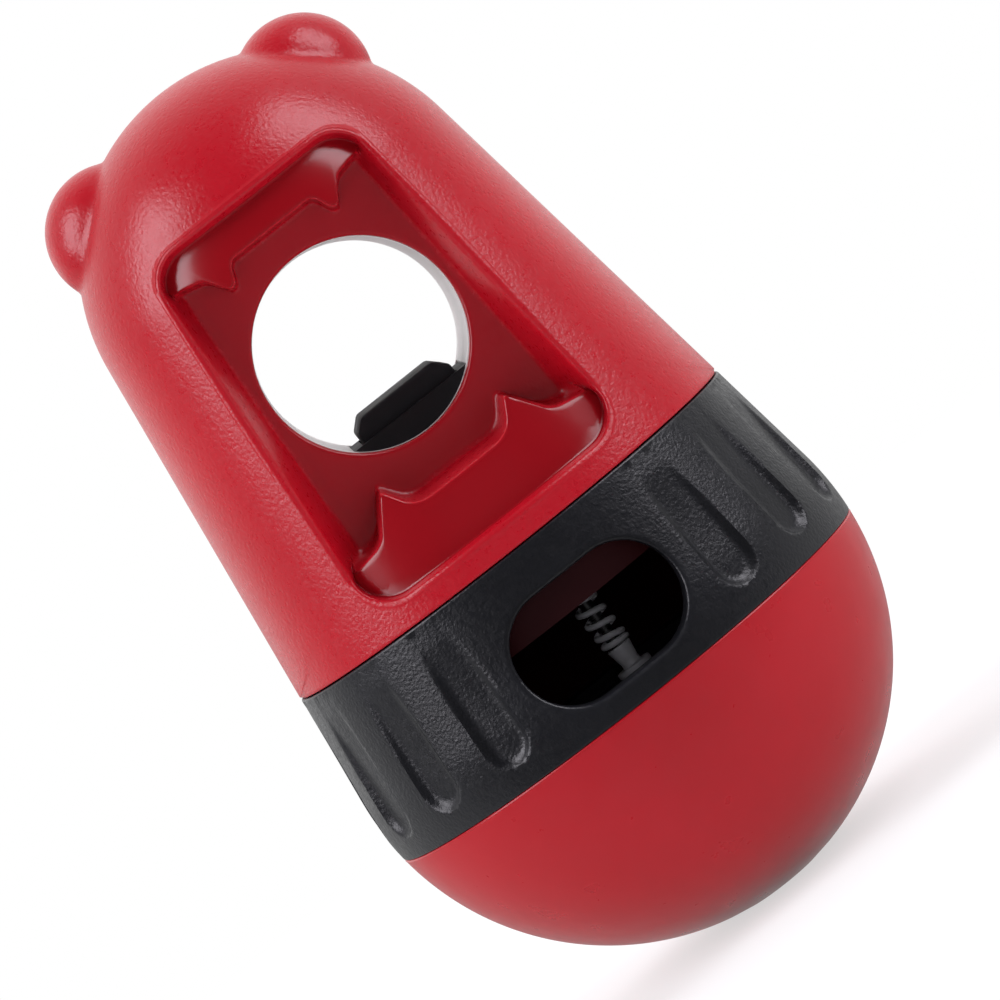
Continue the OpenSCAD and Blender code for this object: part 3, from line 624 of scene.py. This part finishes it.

# Feed drum: the dark red inner drum that hangs from the head and screws into the band. Its window shows
# behind the outlet, and its ceiling carries the pad's guide. Its colour is painted much darker than its own
# dark red, as painted shade deep behind the outlet.
dressed_nodes["feed_drum"] = moulded(
    "drum_red_painted_dark", colour=(0.024, 0.002, 0.003), shade=(0.018, 0.0015, 0.0025), gloss=(0.45, 0.55),
    grain=1400.0, depth=0.00003, strength=0.5, shine=0.15)

# Rod, washer, clip and nut: small turned steel parts with a bright nickel finish. The rod runs from the
# pad down to the gate, the clip holds the washer on it, and the nut holds the gate.
nickel, shader = start_material("nickel_steel", metal=1.0)
tinted(shader, speckle(shader, 300.0, 2.0), (0.62, 0.62, 0.63), (0.5, 0.5, 0.515))
roughened(shader, speckle(shader, 900.0, 3.0, (0.3, 0.3, 6.0)), smooth=0.22, rough=0.4)
embossed(shader, speckle(shader, 1500.0, 2.0, (0.2, 0.2, 8.0)), depth=0.00001, strength=0.4)
for name in ("plunger_rod", "spring_washer", "retaining_clip", "gate_nut"):
    dressed_nodes[name] = nickel

# Spring seat: a small turned collar of dull zinc-plated steel with a flange and a flared top. It stands in
# the spider's hub, carries the spring and guides the rod. Its zinc is painted much paler than real zinc, as
# painted light on the seat and the spring deep in the drum.
rod_x = 2.9
seat_bore_r, seat_stem_r, seat_flange_r, seat_top_r = 1.32, 1.75, 3.3, 2.3
seat_low_z, flange_low_z, flange_top_z, flare_z, seat_top_z = 41.0, 43.3, 44.4, 45.4, 48.4
zinc_steel, shader = start_material("zinc_steel", metal=0.15)
tinted(shader, speckle(shader, 500.0, 3.0), (0.84, 0.84, 0.855), (0.7, 0.7, 0.715))
roughened(shader, speckle(shader, 1800.0, 3.0), smooth=0.42, rough=0.58)
embossed(shader, speckle(shader, 2500.0, 2.0), depth=0.00001, strength=0.4)
seat_profile = rounded([
    (seat_bore_r, seat_low_z), (seat_stem_r, seat_low_z, 0.15), (seat_stem_r, flange_low_z),
    (seat_flange_r, flange_low_z, 0.2), (seat_flange_r, flange_top_z, 0.25),
    (seat_stem_r, flange_top_z, 0.2), (seat_stem_r, flare_z, 0.3), (seat_top_r, seat_top_z, 0.2),
    (seat_bore_r, seat_top_z)], 4)
spring_seat = skin("spring_seat_stub", *turned(seat_profile, 48, (rod_x, 0.0)))
dressed(spring_seat, zinc_steel, "head", "steel", "spring_seat")

# Return spring: one round steel wire wound right-handed on the rod, its end coils closed and flat. It
# stands on the seat and pushes the washer on the rod, and so the pad, back up.
spring_low_z, spring_top_z, wire_d, coil_r, spring_turns = 48.4, 69.4, 1.1, 2.2, 9.0
coil_sizes = {"Coil radius": coil_r * mm, "Wire radius": wire_d / 2 * mm, "Turns": spring_turns,
              "Base": (spring_low_z + wire_d / 2) * mm, "Closed rise": wire_d * mm,
              "Open rise": (spring_top_z - spring_low_z - 3 * wire_d) * mm, "Across": rod_x * mm}
tree, size, out = new_tree("wound_wire", coil_sizes)
times, plus, minus = sums(tree)[:3]
spiral = step(tree, "GeometryNodeCurveSpiral", Resolution=28, Rotations=size["Turns"], Height=0.0,
              Start_Radius=size["Coil radius"], End_Radius=size["Coil radius"])
turn_at = times(step(tree, "GeometryNodeSplineParameter"), size["Turns"])
last_turn = minus(size["Turns"], 1.0)
climb = size["Base"]
for start, end, amount in ((0.0, 1.0, size["Closed rise"]), (1.0, last_turn, size["Open rise"]),
                           (last_turn, size["Turns"], size["Closed rise"])):
    climb = plus(climb, ranged(turn_at, start, end, 0.0, amount))
lift = step(tree, "ShaderNodeCombineXYZ", X=size["Across"], Z=climb)
spiral = step(tree, "GeometryNodeSetPosition", Geometry=spiral, Offset=lift)
wire = step(tree, "GeometryNodeCurvePrimitiveCircle", Resolution=12, Radius=size["Wire radius"])
tube = step(tree, "GeometryNodeCurveToMesh", Curve=spiral, Profile_Curve=wire, Fill_Caps=True)
# The wire gets the same zinc, painted pale as light.
finish_tree(tree, step(tree, "GeometryNodeSetShadeSmooth", Geometry=tube), out, zinc_steel)
coil_spring = grown("coil_spring", tree, bpy.data.meshes.new("spring_start"), coil_sizes)
dressed(coil_spring, zinc_steel, "head", "spring_steel", "return_spring")
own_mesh(coil_spring)

# Pad guide: a matt black sleeve with a wide foot, screwed to the drum's ceiling. The foot's hollow side
# carries the liner, and the pad slides in the sleeve.
dressed_nodes["pad_guide"] = moulded(
    "guide_black", colour=(0.011, 0.011, 0.013), shade=(0.008, 0.008, 0.0095), gloss=(0.55, 0.68),
    grain=1300.0, depth=0.00004, strength=0.5, shine=0.3)

# Press pad: the black rubber block in the hole that is pushed down by a finger or a paw. It is moulded
# on the rod's top end, with sloping shoulders and soft edges.
pad_half, pad_top_half, pad_reach = 9.7, 7.5, 15.5
pad_low_z, pad_shoulder_z, pad_top_z = 88.0, 103.9, 106.0
pad_low_round, pad_round = 0.5, 1.2
pad_face_edge = ((9.0, 0.0), (0.9, 0.0), (0.45, 0.07), (0.12, 0.35), (0.0, 0.8))
rod_socket_r, rod_socket_top_z = 1.3, 97.15
pad_rubber = moulded("pad_rubber", colour=(0.0145, 0.0143, 0.0175), shade=(0.011, 0.011, 0.013),
                     gloss=(0.55, 0.72), grain=1100.0, depth=0.00005, strength=0.6, shine=0.3)
pad_right = [(pad_half, pad_low_z, pad_low_round), (pad_half, pad_shoulder_z, pad_round),
             (pad_top_half, pad_top_z, pad_round)]
pad_left = [(-across, height, radius) for across, height, radius in pad_right[::-1]]
pad_line = rounded([(0, pad_low_z), *pad_right, *pad_left, (0, pad_low_z)], 6)[:-1]
points, faces, on_skin = [], [], []
middle = np.array((0.0, (pad_low_z + pad_top_z) / 2))
pad_rings = []
for inset, back in pad_face_edge:
    scale = 1 - inset / np.array((pad_half, (pad_top_z - pad_low_z) / 2))
    ring = middle + (pad_line - middle) * scale
    pad_rings.append(np.stack([ring[:, 0], np.full(len(ring), back - pad_reach), ring[:, 1]], -1))
pad_rings += [r * (1, -1, 1) for r in pad_rings[::-1]]
add_grid(np.stack(pad_rings), closed=True)
count = len(pad_line)
for first in (0, (len(pad_rings) - 1) * count):
    faces.append(list(range(first, first + count)))
press_pad = skin("press_pad_block", np.concatenate(points), faces)
socket_profile = [(0, pad_low_z - 1.0), (rod_socket_r, pad_low_z - 1.0), (rod_socket_r, rod_socket_top_z),
                  (0, rod_socket_top_z)]
rod_socket = skin("rod_socket", *turned(socket_profile, 32, (rod_x, 0.0)))
press_pad = trimmed(press_pad, [rod_socket], "DIFFERENCE")
dressed(press_pad, pad_rubber, "plunger", "pad_rubber", "press_pad")

# Hole liner: a white plastic tube through the head that lines the finger hole. It is clamped between
# the two recess floors and lets the pad's sleeve in from below.
dressed_nodes["hole_liner"] = moulded(
    "liner_white", colour=(0.90, 0.895, 0.88), shade=(0.86, 0.855, 0.84), gloss=(0.35, 0.46),
    grain=1300.0, depth=0.00002)

# The solids that are shown as they are get their materials
for name, material in dressed_nodes.items():
    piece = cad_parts[name]
    piece.data.materials.clear()
    piece.data.materials.append(material)

# Head shell: the bear's head in red plastic with a fine leather-like grain. Both faces have a recess
# with a flat floor round the hole and two polished ledges with horns, and the ears are round knobs.
hole_z, hole_r, hole_round = 115.7, 17.95, 1.0
floor_y, hole_back_y = 22.7, 20.1
ledge_drop, shell_wall = 2.5, 2.6
head_low_z, head_edge_round = 74.7, 0.35
seat_r, seat_z = 41.65, 77.45
shoulder_r, shoulder_z = 40.8, 80.05
ear_r, ear_x, ear_z, ear_fillet = 11.8, 20.3, 155.6, 0.6
lip_height, lip_width = 0.28, 1.3
side_step, rim_beyond = 4.6, 4.6
# The recess floor gets part of the ledges' gloss and part of their painted shade.
floor_polish_shade = 0.45
outer_steps, fine_steps = 32, 240
rim_line = rounded([(0, 146.85), (20.29, 146.85, 6.3), (26.04, 79.3, 6.4), (0, 79.3)], 14)
edge_line = rounded([(0, 139.75), (8.5, 139.75, 1.8), (10.75, 134.7, 1.15), (13.6, 139.8, 2.6),
                     (19.4, 141.2, 0.5), (24.6, 86.9, 0.5), (17.0, 88.3, 5.5), (13.2, 95.8, 0.9),
                     (9.5, 89.7, 5.0), (0, 89.6)], 10)
foot_line = rounded([(0, 139.35), (8.4, 139.35, 1.6), (10.75, 134.1, 1.2), (13.6, 139.3, 2.4),
                     (18.25, 140.4, 0.8), (21.75, 88.3, 0.8), (17.2, 89.2, 5.0), (13.2, 95.9, 1.1),
                     (9.4, 90.5, 5.0), (0, 90.6)], 10)
eye = np.array((0.0, hole_z))
edge_z = head_low_z + head_edge_round
edge_r = float(body_radius(edge_z))
corner_turn = math.atan2(edge_r, edge_z - hole_z)
horns_from, horns_to, low_horns_to = np.radians((12, 45, 163))
half_turns = spaced((0, horns_from, 10), (horns_from, horns_to, 60), (horns_to, corner_turn, 64),
                    (corner_turn, low_horns_to, 56), (low_horns_to, math.pi, 14))
turn = np.concatenate([half_turns, half_turns[-2:0:-1]])
side = np.concatenate([np.ones(len(half_turns)), -np.ones(len(half_turns) - 2)])
ray_x, ray_z = side * np.sin(turn), np.cos(turn)


def ear_swell(places):
    """Points of the dome pushed out from its centre to the round ears, with a small fillet."""
    hub = np.array((0.0, 0.0, dome_z))
    way = places - hub
    far = np.linalg.norm(way, axis=-1)
    grown_far = far
    for sign in (-1, 1):
        axis = np.array((sign * ear_x, 0.0, ear_z - dome_z))
        off_axis = np.linalg.norm(axis)
        along = (way @ axis) / (off_axis * far)
        under = ear_r ** 2 - off_axis ** 2 * (1 - along ** 2)
        on_ear = (under > 0) & (along > 0)
        ear_far = np.where(on_ear, off_axis * along + np.sqrt(np.maximum(under, 0)), -1e3)
        share = np.clip(0.5 + 0.5 * (grown_far - ear_far) / ear_fillet, 0, 1)
        swollen = grown_far * share + ear_far * (1 - share) + ear_fillet * share * (1 - share)
        grown_far = np.where(on_ear, swollen, grown_far)
    return hub + way * (grown_far / far)[..., None]


def smooth_step(value, low, high):
    """0 below low, 1 above high, smooth between."""
    u = np.clip((value - low) / (high - low), 0, 1)
    return u * u * (3 - 2 * u)


def mixed(one, other, share):
    """One value where share is 0, the other where it is 1."""
    return one * (1 - share) + other * share


def surface(reach_at, inset=0.0):
    """Depth of the outer form, or of the form inset under it, at a distance along each ray."""
    across, height = ray_x * reach_at, hole_z + ray_z * reach_at
    return np.sqrt(np.maximum(body_radius(height, inset) ** 2 - across ** 2, 0.0))


rim, edge, foot = (polar_reach(line, turn, eye) for line in (rim_line, edge_line, foot_line))
degrees = np.degrees(turn)
plain_side = smooth_step(degrees, 36.8, 38.6) * (1 - smooth_step(degrees, 138.6, 140.4))
at_bottom = smooth_step(degrees, 120, 150)
dome_turns = np.linspace(0, math.pi / 2 - lean, 60)
silhouette = [(dome_r * math.sin(t), dome_z + dome_r * math.cos(t)) for t in dome_turns]
end = polar_reach(silhouette + [(edge_r, edge_z), (0, edge_z)], turn, eye)
lip_share = mixed(1.0, 0.25, at_bottom)
rim_y = surface(rim) + lip_height * lip_share
wall_deep = rim_y - floor_y
side_share = np.minimum(side_step / wall_deep, 0.5)
shelf_in = rim - mixed(1.0, 0.5, smooth_step(degrees, 60, 120))
shelf = mixed(shelf_in, rim + (foot - rim) * side_share, plain_side)
shelf_y = mixed(surface(shelf_in, ledge_drop), rim_y - side_share * wall_deep, plain_side)
low_share = (side_share + 1) / 2
edge_y = mixed(surface(edge, ledge_drop), rim_y - low_share * wall_deep, plain_side)
edge = mixed(edge, rim + (foot - rim) * low_share, plain_side)
edge = np.minimum(edge, shelf - 0.12)


def ledge_at(u):
    """Points between the edge and the foot of the rim: along the ledge, or down the plain side wall."""
    reach_at = mixed(edge, shelf, u)
    return reach_at, mixed(surface(reach_at, ledge_drop), mixed(edge_y, shelf_y, u), plain_side)


def outside_at(reach_at):
    """Points outside the rim, with the low lip that runs round it."""
    past = (reach_at - rim) / lip_width
    return reach_at, surface(reach_at) + lip_height * lip_share * (1 - smooth_step(past, 0.55, 1.15))


def arc(before, corner, after, most, steps):
    """Rounded corners of all the rays at once, as (reach, depth) pairs."""
    before, corner, after = (np.stack(p, -1) for p in (before, corner, after))
    back, on = before - corner, after - corner
    far_back, far_on = np.linalg.norm(back, axis=-1), np.linalg.norm(on, axis=-1)
    reach_at = np.minimum(most, 0.45 * np.minimum(far_back, far_on))
    start = corner + back * (reach_at / far_back)[:, None]
    stop = corner + on * (reach_at / far_on)[:, None]
    return [tuple(mixed(mixed(start, corner, u), mixed(corner, stop, u), u).T)
            for u in np.linspace(0, 1, steps)]


def between(one, other, steps):
    """Points strictly between two (reach, depth) pairs."""
    shares = np.linspace(0, 1, steps + 2)[1:-1]
    return [(mixed(one[0], other[0], u), mixed(one[1], other[1], u)) for u in shares]


flat = np.full_like(turn, floor_y)
bore = np.full_like(turn, hole_r)
hole_start = (bore, np.full_like(turn, hole_back_y))
hole_corner = arc(hole_start, (bore, flat), (foot, flat), hole_round, 6)
foot_corner = arc((bore, flat), (foot, flat), (edge, edge_y), mixed(0.9, 1.4, at_bottom), 6)
edge_corner = arc((foot, flat), (edge, edge_y), ledge_at(0.4), 0.8, 6)
shelf_corner = arc(ledge_at(0.6), (shelf, shelf_y), (rim, rim_y), 0.5, 4)
rim_corner = arc((shelf, shelf_y), (rim, rim_y), outside_at(rim + rim_beyond),
                 mixed(0.9, 2.0, plain_side), 8)
ledge_from = (edge_corner[-1][0] - edge) / (shelf - edge)
ledge_to = (shelf_corner[0][0] - edge) / (shelf - edge)
lines = [hole_start] + hole_corner + between(hole_corner[-1], foot_corner[0], 5)
floor_to = len(lines)
lines += foot_corner
foot_to = len(lines)
lines += between(foot_corner[-1], edge_corner[0], 5) + edge_corner
polish_shade_from = len(lines) - 3
lines += [ledge_at(mixed(ledge_from, ledge_to, u)) for u in np.linspace(0, 1, 9)[1:-1]]
lines += shelf_corner
polish_shade_to = len(lines) - 1
lines += rim_corner
lip_from, lip_to = rim_corner[-1][0], rim + lip_width * 1.3
lines += [outside_at(mixed(lip_from, lip_to, u)) for u in np.linspace(0, 1, 8)[1:]]
front = np.stack([np.stack([ray_x * r, -d, hole_z + ray_z * r], -1) for r, d in lines])

# The outer form from the lip to the middle plane or the lower edge, in even steps along each ray
long_shares = np.sin(np.linspace(0, math.pi / 2, fine_steps))
long_reach, long_depth = map(np.stack, zip(*(outside_at(mixed(lip_to, end, u)) for u in long_shares)))
upper = turn <= corner_turn + 1e-9
long_depth[-1, upper] = 0.0
long_line = ear_swell(np.stack([ray_x * long_reach, -long_depth, hole_z + ray_z * long_reach], -1))
spread = np.linalg.norm(np.diff(long_line, axis=0), axis=-1)
spread = np.concatenate([np.zeros((1, len(turn))), np.cumsum(spread, 0)])
outer = np.empty((outer_steps, len(turn), 3))
for k in range(len(turn)):
    wanted = np.linspace(0, spread[-1, k], outer_steps + 1)[1:]
    for axis in range(3):
        outer[:, k, axis] = np.interp(wanted, spread[:, k], long_line[:, k, axis])
front = np.concatenate([front, outer])


def round_axis(radius, bearing, z):
    """Points at a radius from the toy's axis, with the bearing taken from the front."""
    return np.stack([radius * np.sin(bearing), -radius * np.cos(bearing), z + 0 * bearing], -1)


# Inside of the shell, behind the floor, the walls and the dome
points, faces, on_skin = [], [], []
behind = np.minimum(rim + 1.5, np.where(ray_z < -0.5, end - 3.0, 1e3))
behind = np.where(degrees > 150, rim - 2.0, behind)
last = front[-1]
rise_at = np.arctan2(last[:, 2] - dome_z, np.abs(last[:, 0]))
in_z = np.maximum(last[:, 2] - shell_wall * np.sin(np.maximum(rise_at, 0.0)), shoulder_z)
in_x = side * np.minimum(body_radius(in_z, shell_wall), np.abs(last[:, 0]))
in_far = np.hypot(last[:, 0], last[:, 2] - dome_z) - shell_wall
dome_side = upper & (last[:, 2] > dome_z)
in_x = np.where(dome_side, in_far * np.sign(last[:, 0]) * np.cos(rise_at), in_x)
in_z = np.where(dome_side, dome_z + in_far * np.sin(rise_at), in_z)
inner_end = np.stack([in_x, np.zeros_like(turn), in_z], -1)
low = ~upper | np.isclose(turn, corner_turn)
bearing_at = np.arctan2(last[:, 0], -last[:, 1])
ring_in = float(body_radius(shoulder_z, shell_wall))
inner_end[low] = round_axis(ring_in, bearing_at[low], shoulder_z)
floor_back = np.stack([ray_x * behind, np.full_like(turn, -hole_back_y), hole_z + ray_z * behind], -1)
inner = np.stack([front[0], floor_back, inner_end])
low_r = np.hypot(last[low, 0], last[low, 1])
low_lines = [(low_r - head_edge_round * (1 - math.cos(t)), edge_z - head_edge_round * math.sin(t))
             for t in np.linspace(0, math.pi / 2, 5)]
low_lines += [(seat_r, head_low_z), (seat_r, seat_z), (shoulder_r, seat_z), (shoulder_r, shoulder_z),
              (ring_in, shoulder_z)]
under = np.stack([round_axis(r, bearing_at[low], z) for r, z in low_lines])
# The mark gives the ledges full gloss and full painted shade, and the floor part of both, fading out up the
# foot's fillet.
polish_shade_mark = np.zeros(front.shape[:2])
polish_shade_mark[polish_shade_from:polish_shade_to] = 1 - plain_side
polish_shade_mark[:floor_to] = floor_polish_shade
polish_shade_mark[floor_to:foot_to] = np.linspace(floor_polish_shade, 0, foot_to - floor_to)[:, None]
for spin in ((1, 1, 1), (-1, -1, 1)):
    add_grid(front * spin, closed=True)
    on_skin[-1] = polish_shade_mark.reshape(-1)
    add_grid(inner * spin, closed=True)
    add_grid(under * spin)
head_shell = skin("head_shell_cover", np.concatenate(points), faces, crisp=40.0,
                  marks={"polish_shade": np.concatenate(on_skin)})

# Besides the gloss, the mark paints the recess floor and the ledges a darker red: painted shade in the
# recess, and partly the deeper look of glossy plastic.
shell_red, shader = start_material("shell_red")
polish_shade_value = step(shell_red.node_tree, "ShaderNodeAttribute", "Fac", {"attribute_name": "polish_shade"})
shell_grain_and_shade_tone = calc(shell_red.node_tree, "ADD", ranged(speckle(shader, 40.0, 3.0), 0.35, 0.65, 0.0, 0.12),
                  ranged(polish_shade_value, 0.0, 1.0, 0.0, 0.88))
tinted(shader, shell_grain_and_shade_tone, (0.43, 0.003, 0.012), (0.25, 0.002, 0.006))
grained = ranged(speckle(shader, 700.0, 3.0), 0.3, 0.7, 0.26, 0.34)
rough_mix = step(shell_red.node_tree, "ShaderNodeMix", "Result", Factor=polish_shade_value, A=grained, B=0.18)
feed(shader.inputs["Roughness"], rough_mix)
embossed(shader, speckle(shader, 1400.0, 1.5), depth=0.00011,
         strength=ranged(polish_shade_value, 0.0, 1.0, 0.7, 0.0))
dressed(head_shell, shell_red, "head", "red_shell", "head_shell")

# Screws: small nickel-plated pan heads with a cross recess. They hold the cover on the cup's bosses,
# the drum in the head, the guide on the drum's ceiling and the spider under the drum.
screw_sizes = {"Head radius": 2.0 * mm, "Head height": 1.5 * mm, "Shank radius": 1.1 * mm,
               "Length": 9.0 * mm, "Slot width": 0.5 * mm, "Slot depth": 0.8 * mm}
crown_share, slot_share, shank_share, point_share, tip_share = 0.72, 1.1, 0.85, 0.16, 0.35
cover_top_z, ceiling_z, spider_low_z = 19.25, 75.0, 41.0
drum_ring, drum_angles, spider_angles = 36.4, (28, 152, 208, 332), (0, 120, 240)
guide_x, guide_y = 11.9, 17.7
tree, size, out = new_tree("pan_screws", {**screw_sizes, "Tip": 0.0})
times, _, minus = sums(tree)[:3]


def raised(geometry, z):
    """Geometry of the screws' tree moved up by a height."""
    return step(tree, "GeometryNodeTransform", Geometry=geometry,
                Translation=step(tree, "ShaderNodeCombineXYZ", Z=z))


def fused(operation, first, others):
    """Meshes of the screws' tree joined together, or cut out of the first."""
    node = tree.nodes.new("GeometryNodeMeshBoolean")
    node.operation = operation
    if first:
        tree.links.new(first, node.inputs["Mesh 1"])
    for other in others:
        tree.links.new(other, node.inputs["Mesh 2"])
    return node.outputs["Mesh"]


crown = step(tree, "GeometryNodeMeshCone", Vertices=24, Side_Segments=1, Depth=size["Head height"],
             Radius_Top=times(size["Head radius"], crown_share), Radius_Bottom=size["Head radius"])
slot_z = minus(size["Head height"], times(size["Slot depth"], 0.5))
slots = []
for first, second in (("X", "Y"), ("Y", "X")):
    slot_size = {first: size["Slot width"], second: times(size["Head radius"], slot_share)}
    bar_size = step(tree, "ShaderNodeCombineXYZ", Z=times(size["Slot depth"], 1.02), **slot_size)
    slots.append(raised(step(tree, "GeometryNodeMeshCube", Size=bar_size), slot_z))
shank_long = times(size["Length"], shank_share)
shank = step(tree, "GeometryNodeMeshCylinder", Vertices=18, Radius=size["Shank radius"], Depth=shank_long)
shank = raised(shank, times(shank_long, -0.499))
point = step(tree, "GeometryNodeMeshCone", Vertices=18, Radius_Top=size["Shank radius"],
             Radius_Bottom=times(size["Shank radius"], tip_share), Depth=times(size["Length"], point_share))
point = raised(point, times(size["Length"], -1.0))
screw = fused("DIFFERENCE", fused("UNION", None, (crown, shank, point)), slots)
set_screws = step(tree, "GeometryNodeInstanceOnPoints", Points=size["Geometry"], Instance=screw,
                  Rotation=step(tree, "ShaderNodeCombineXYZ", X=size["Tip"]))
finish_tree(tree, set_screws, out, nickel)


def circle_spots(ring, angles, z):
    """Places on a circle round the axis."""
    return [(ring * math.cos(math.radians(a)), ring * math.sin(math.radians(a)), z) for a in angles]


guide_spots = [(sx * guide_x, sy * guide_y, ceiling_z) for sx in (-1, 1) for sy in (-1, 1)]
for name, body, spots, tip in (
        ("weight_screws", "base", circle_spots(boss_ring, boss_angles, cover_top_z), 0.0),
        ("drum_screws", "head", circle_spots(drum_ring, drum_angles, ceiling_z), math.pi),
        ("guide_screws", "head", guide_spots, math.pi),
        ("spider_screws", "head", circle_spots(drum_ring, spider_angles, spider_low_z), math.pi)):
    spot_mesh = bpy.data.meshes.new(name + "_spots")
    spot_mesh.from_pydata([[c * mm for c in spot] for spot in spots], [], [])
    screws = grown(name + "_set", tree, spot_mesh, {**screw_sizes, "Tip": tip})
    dressed(screws, nickel, body, "steel", name)
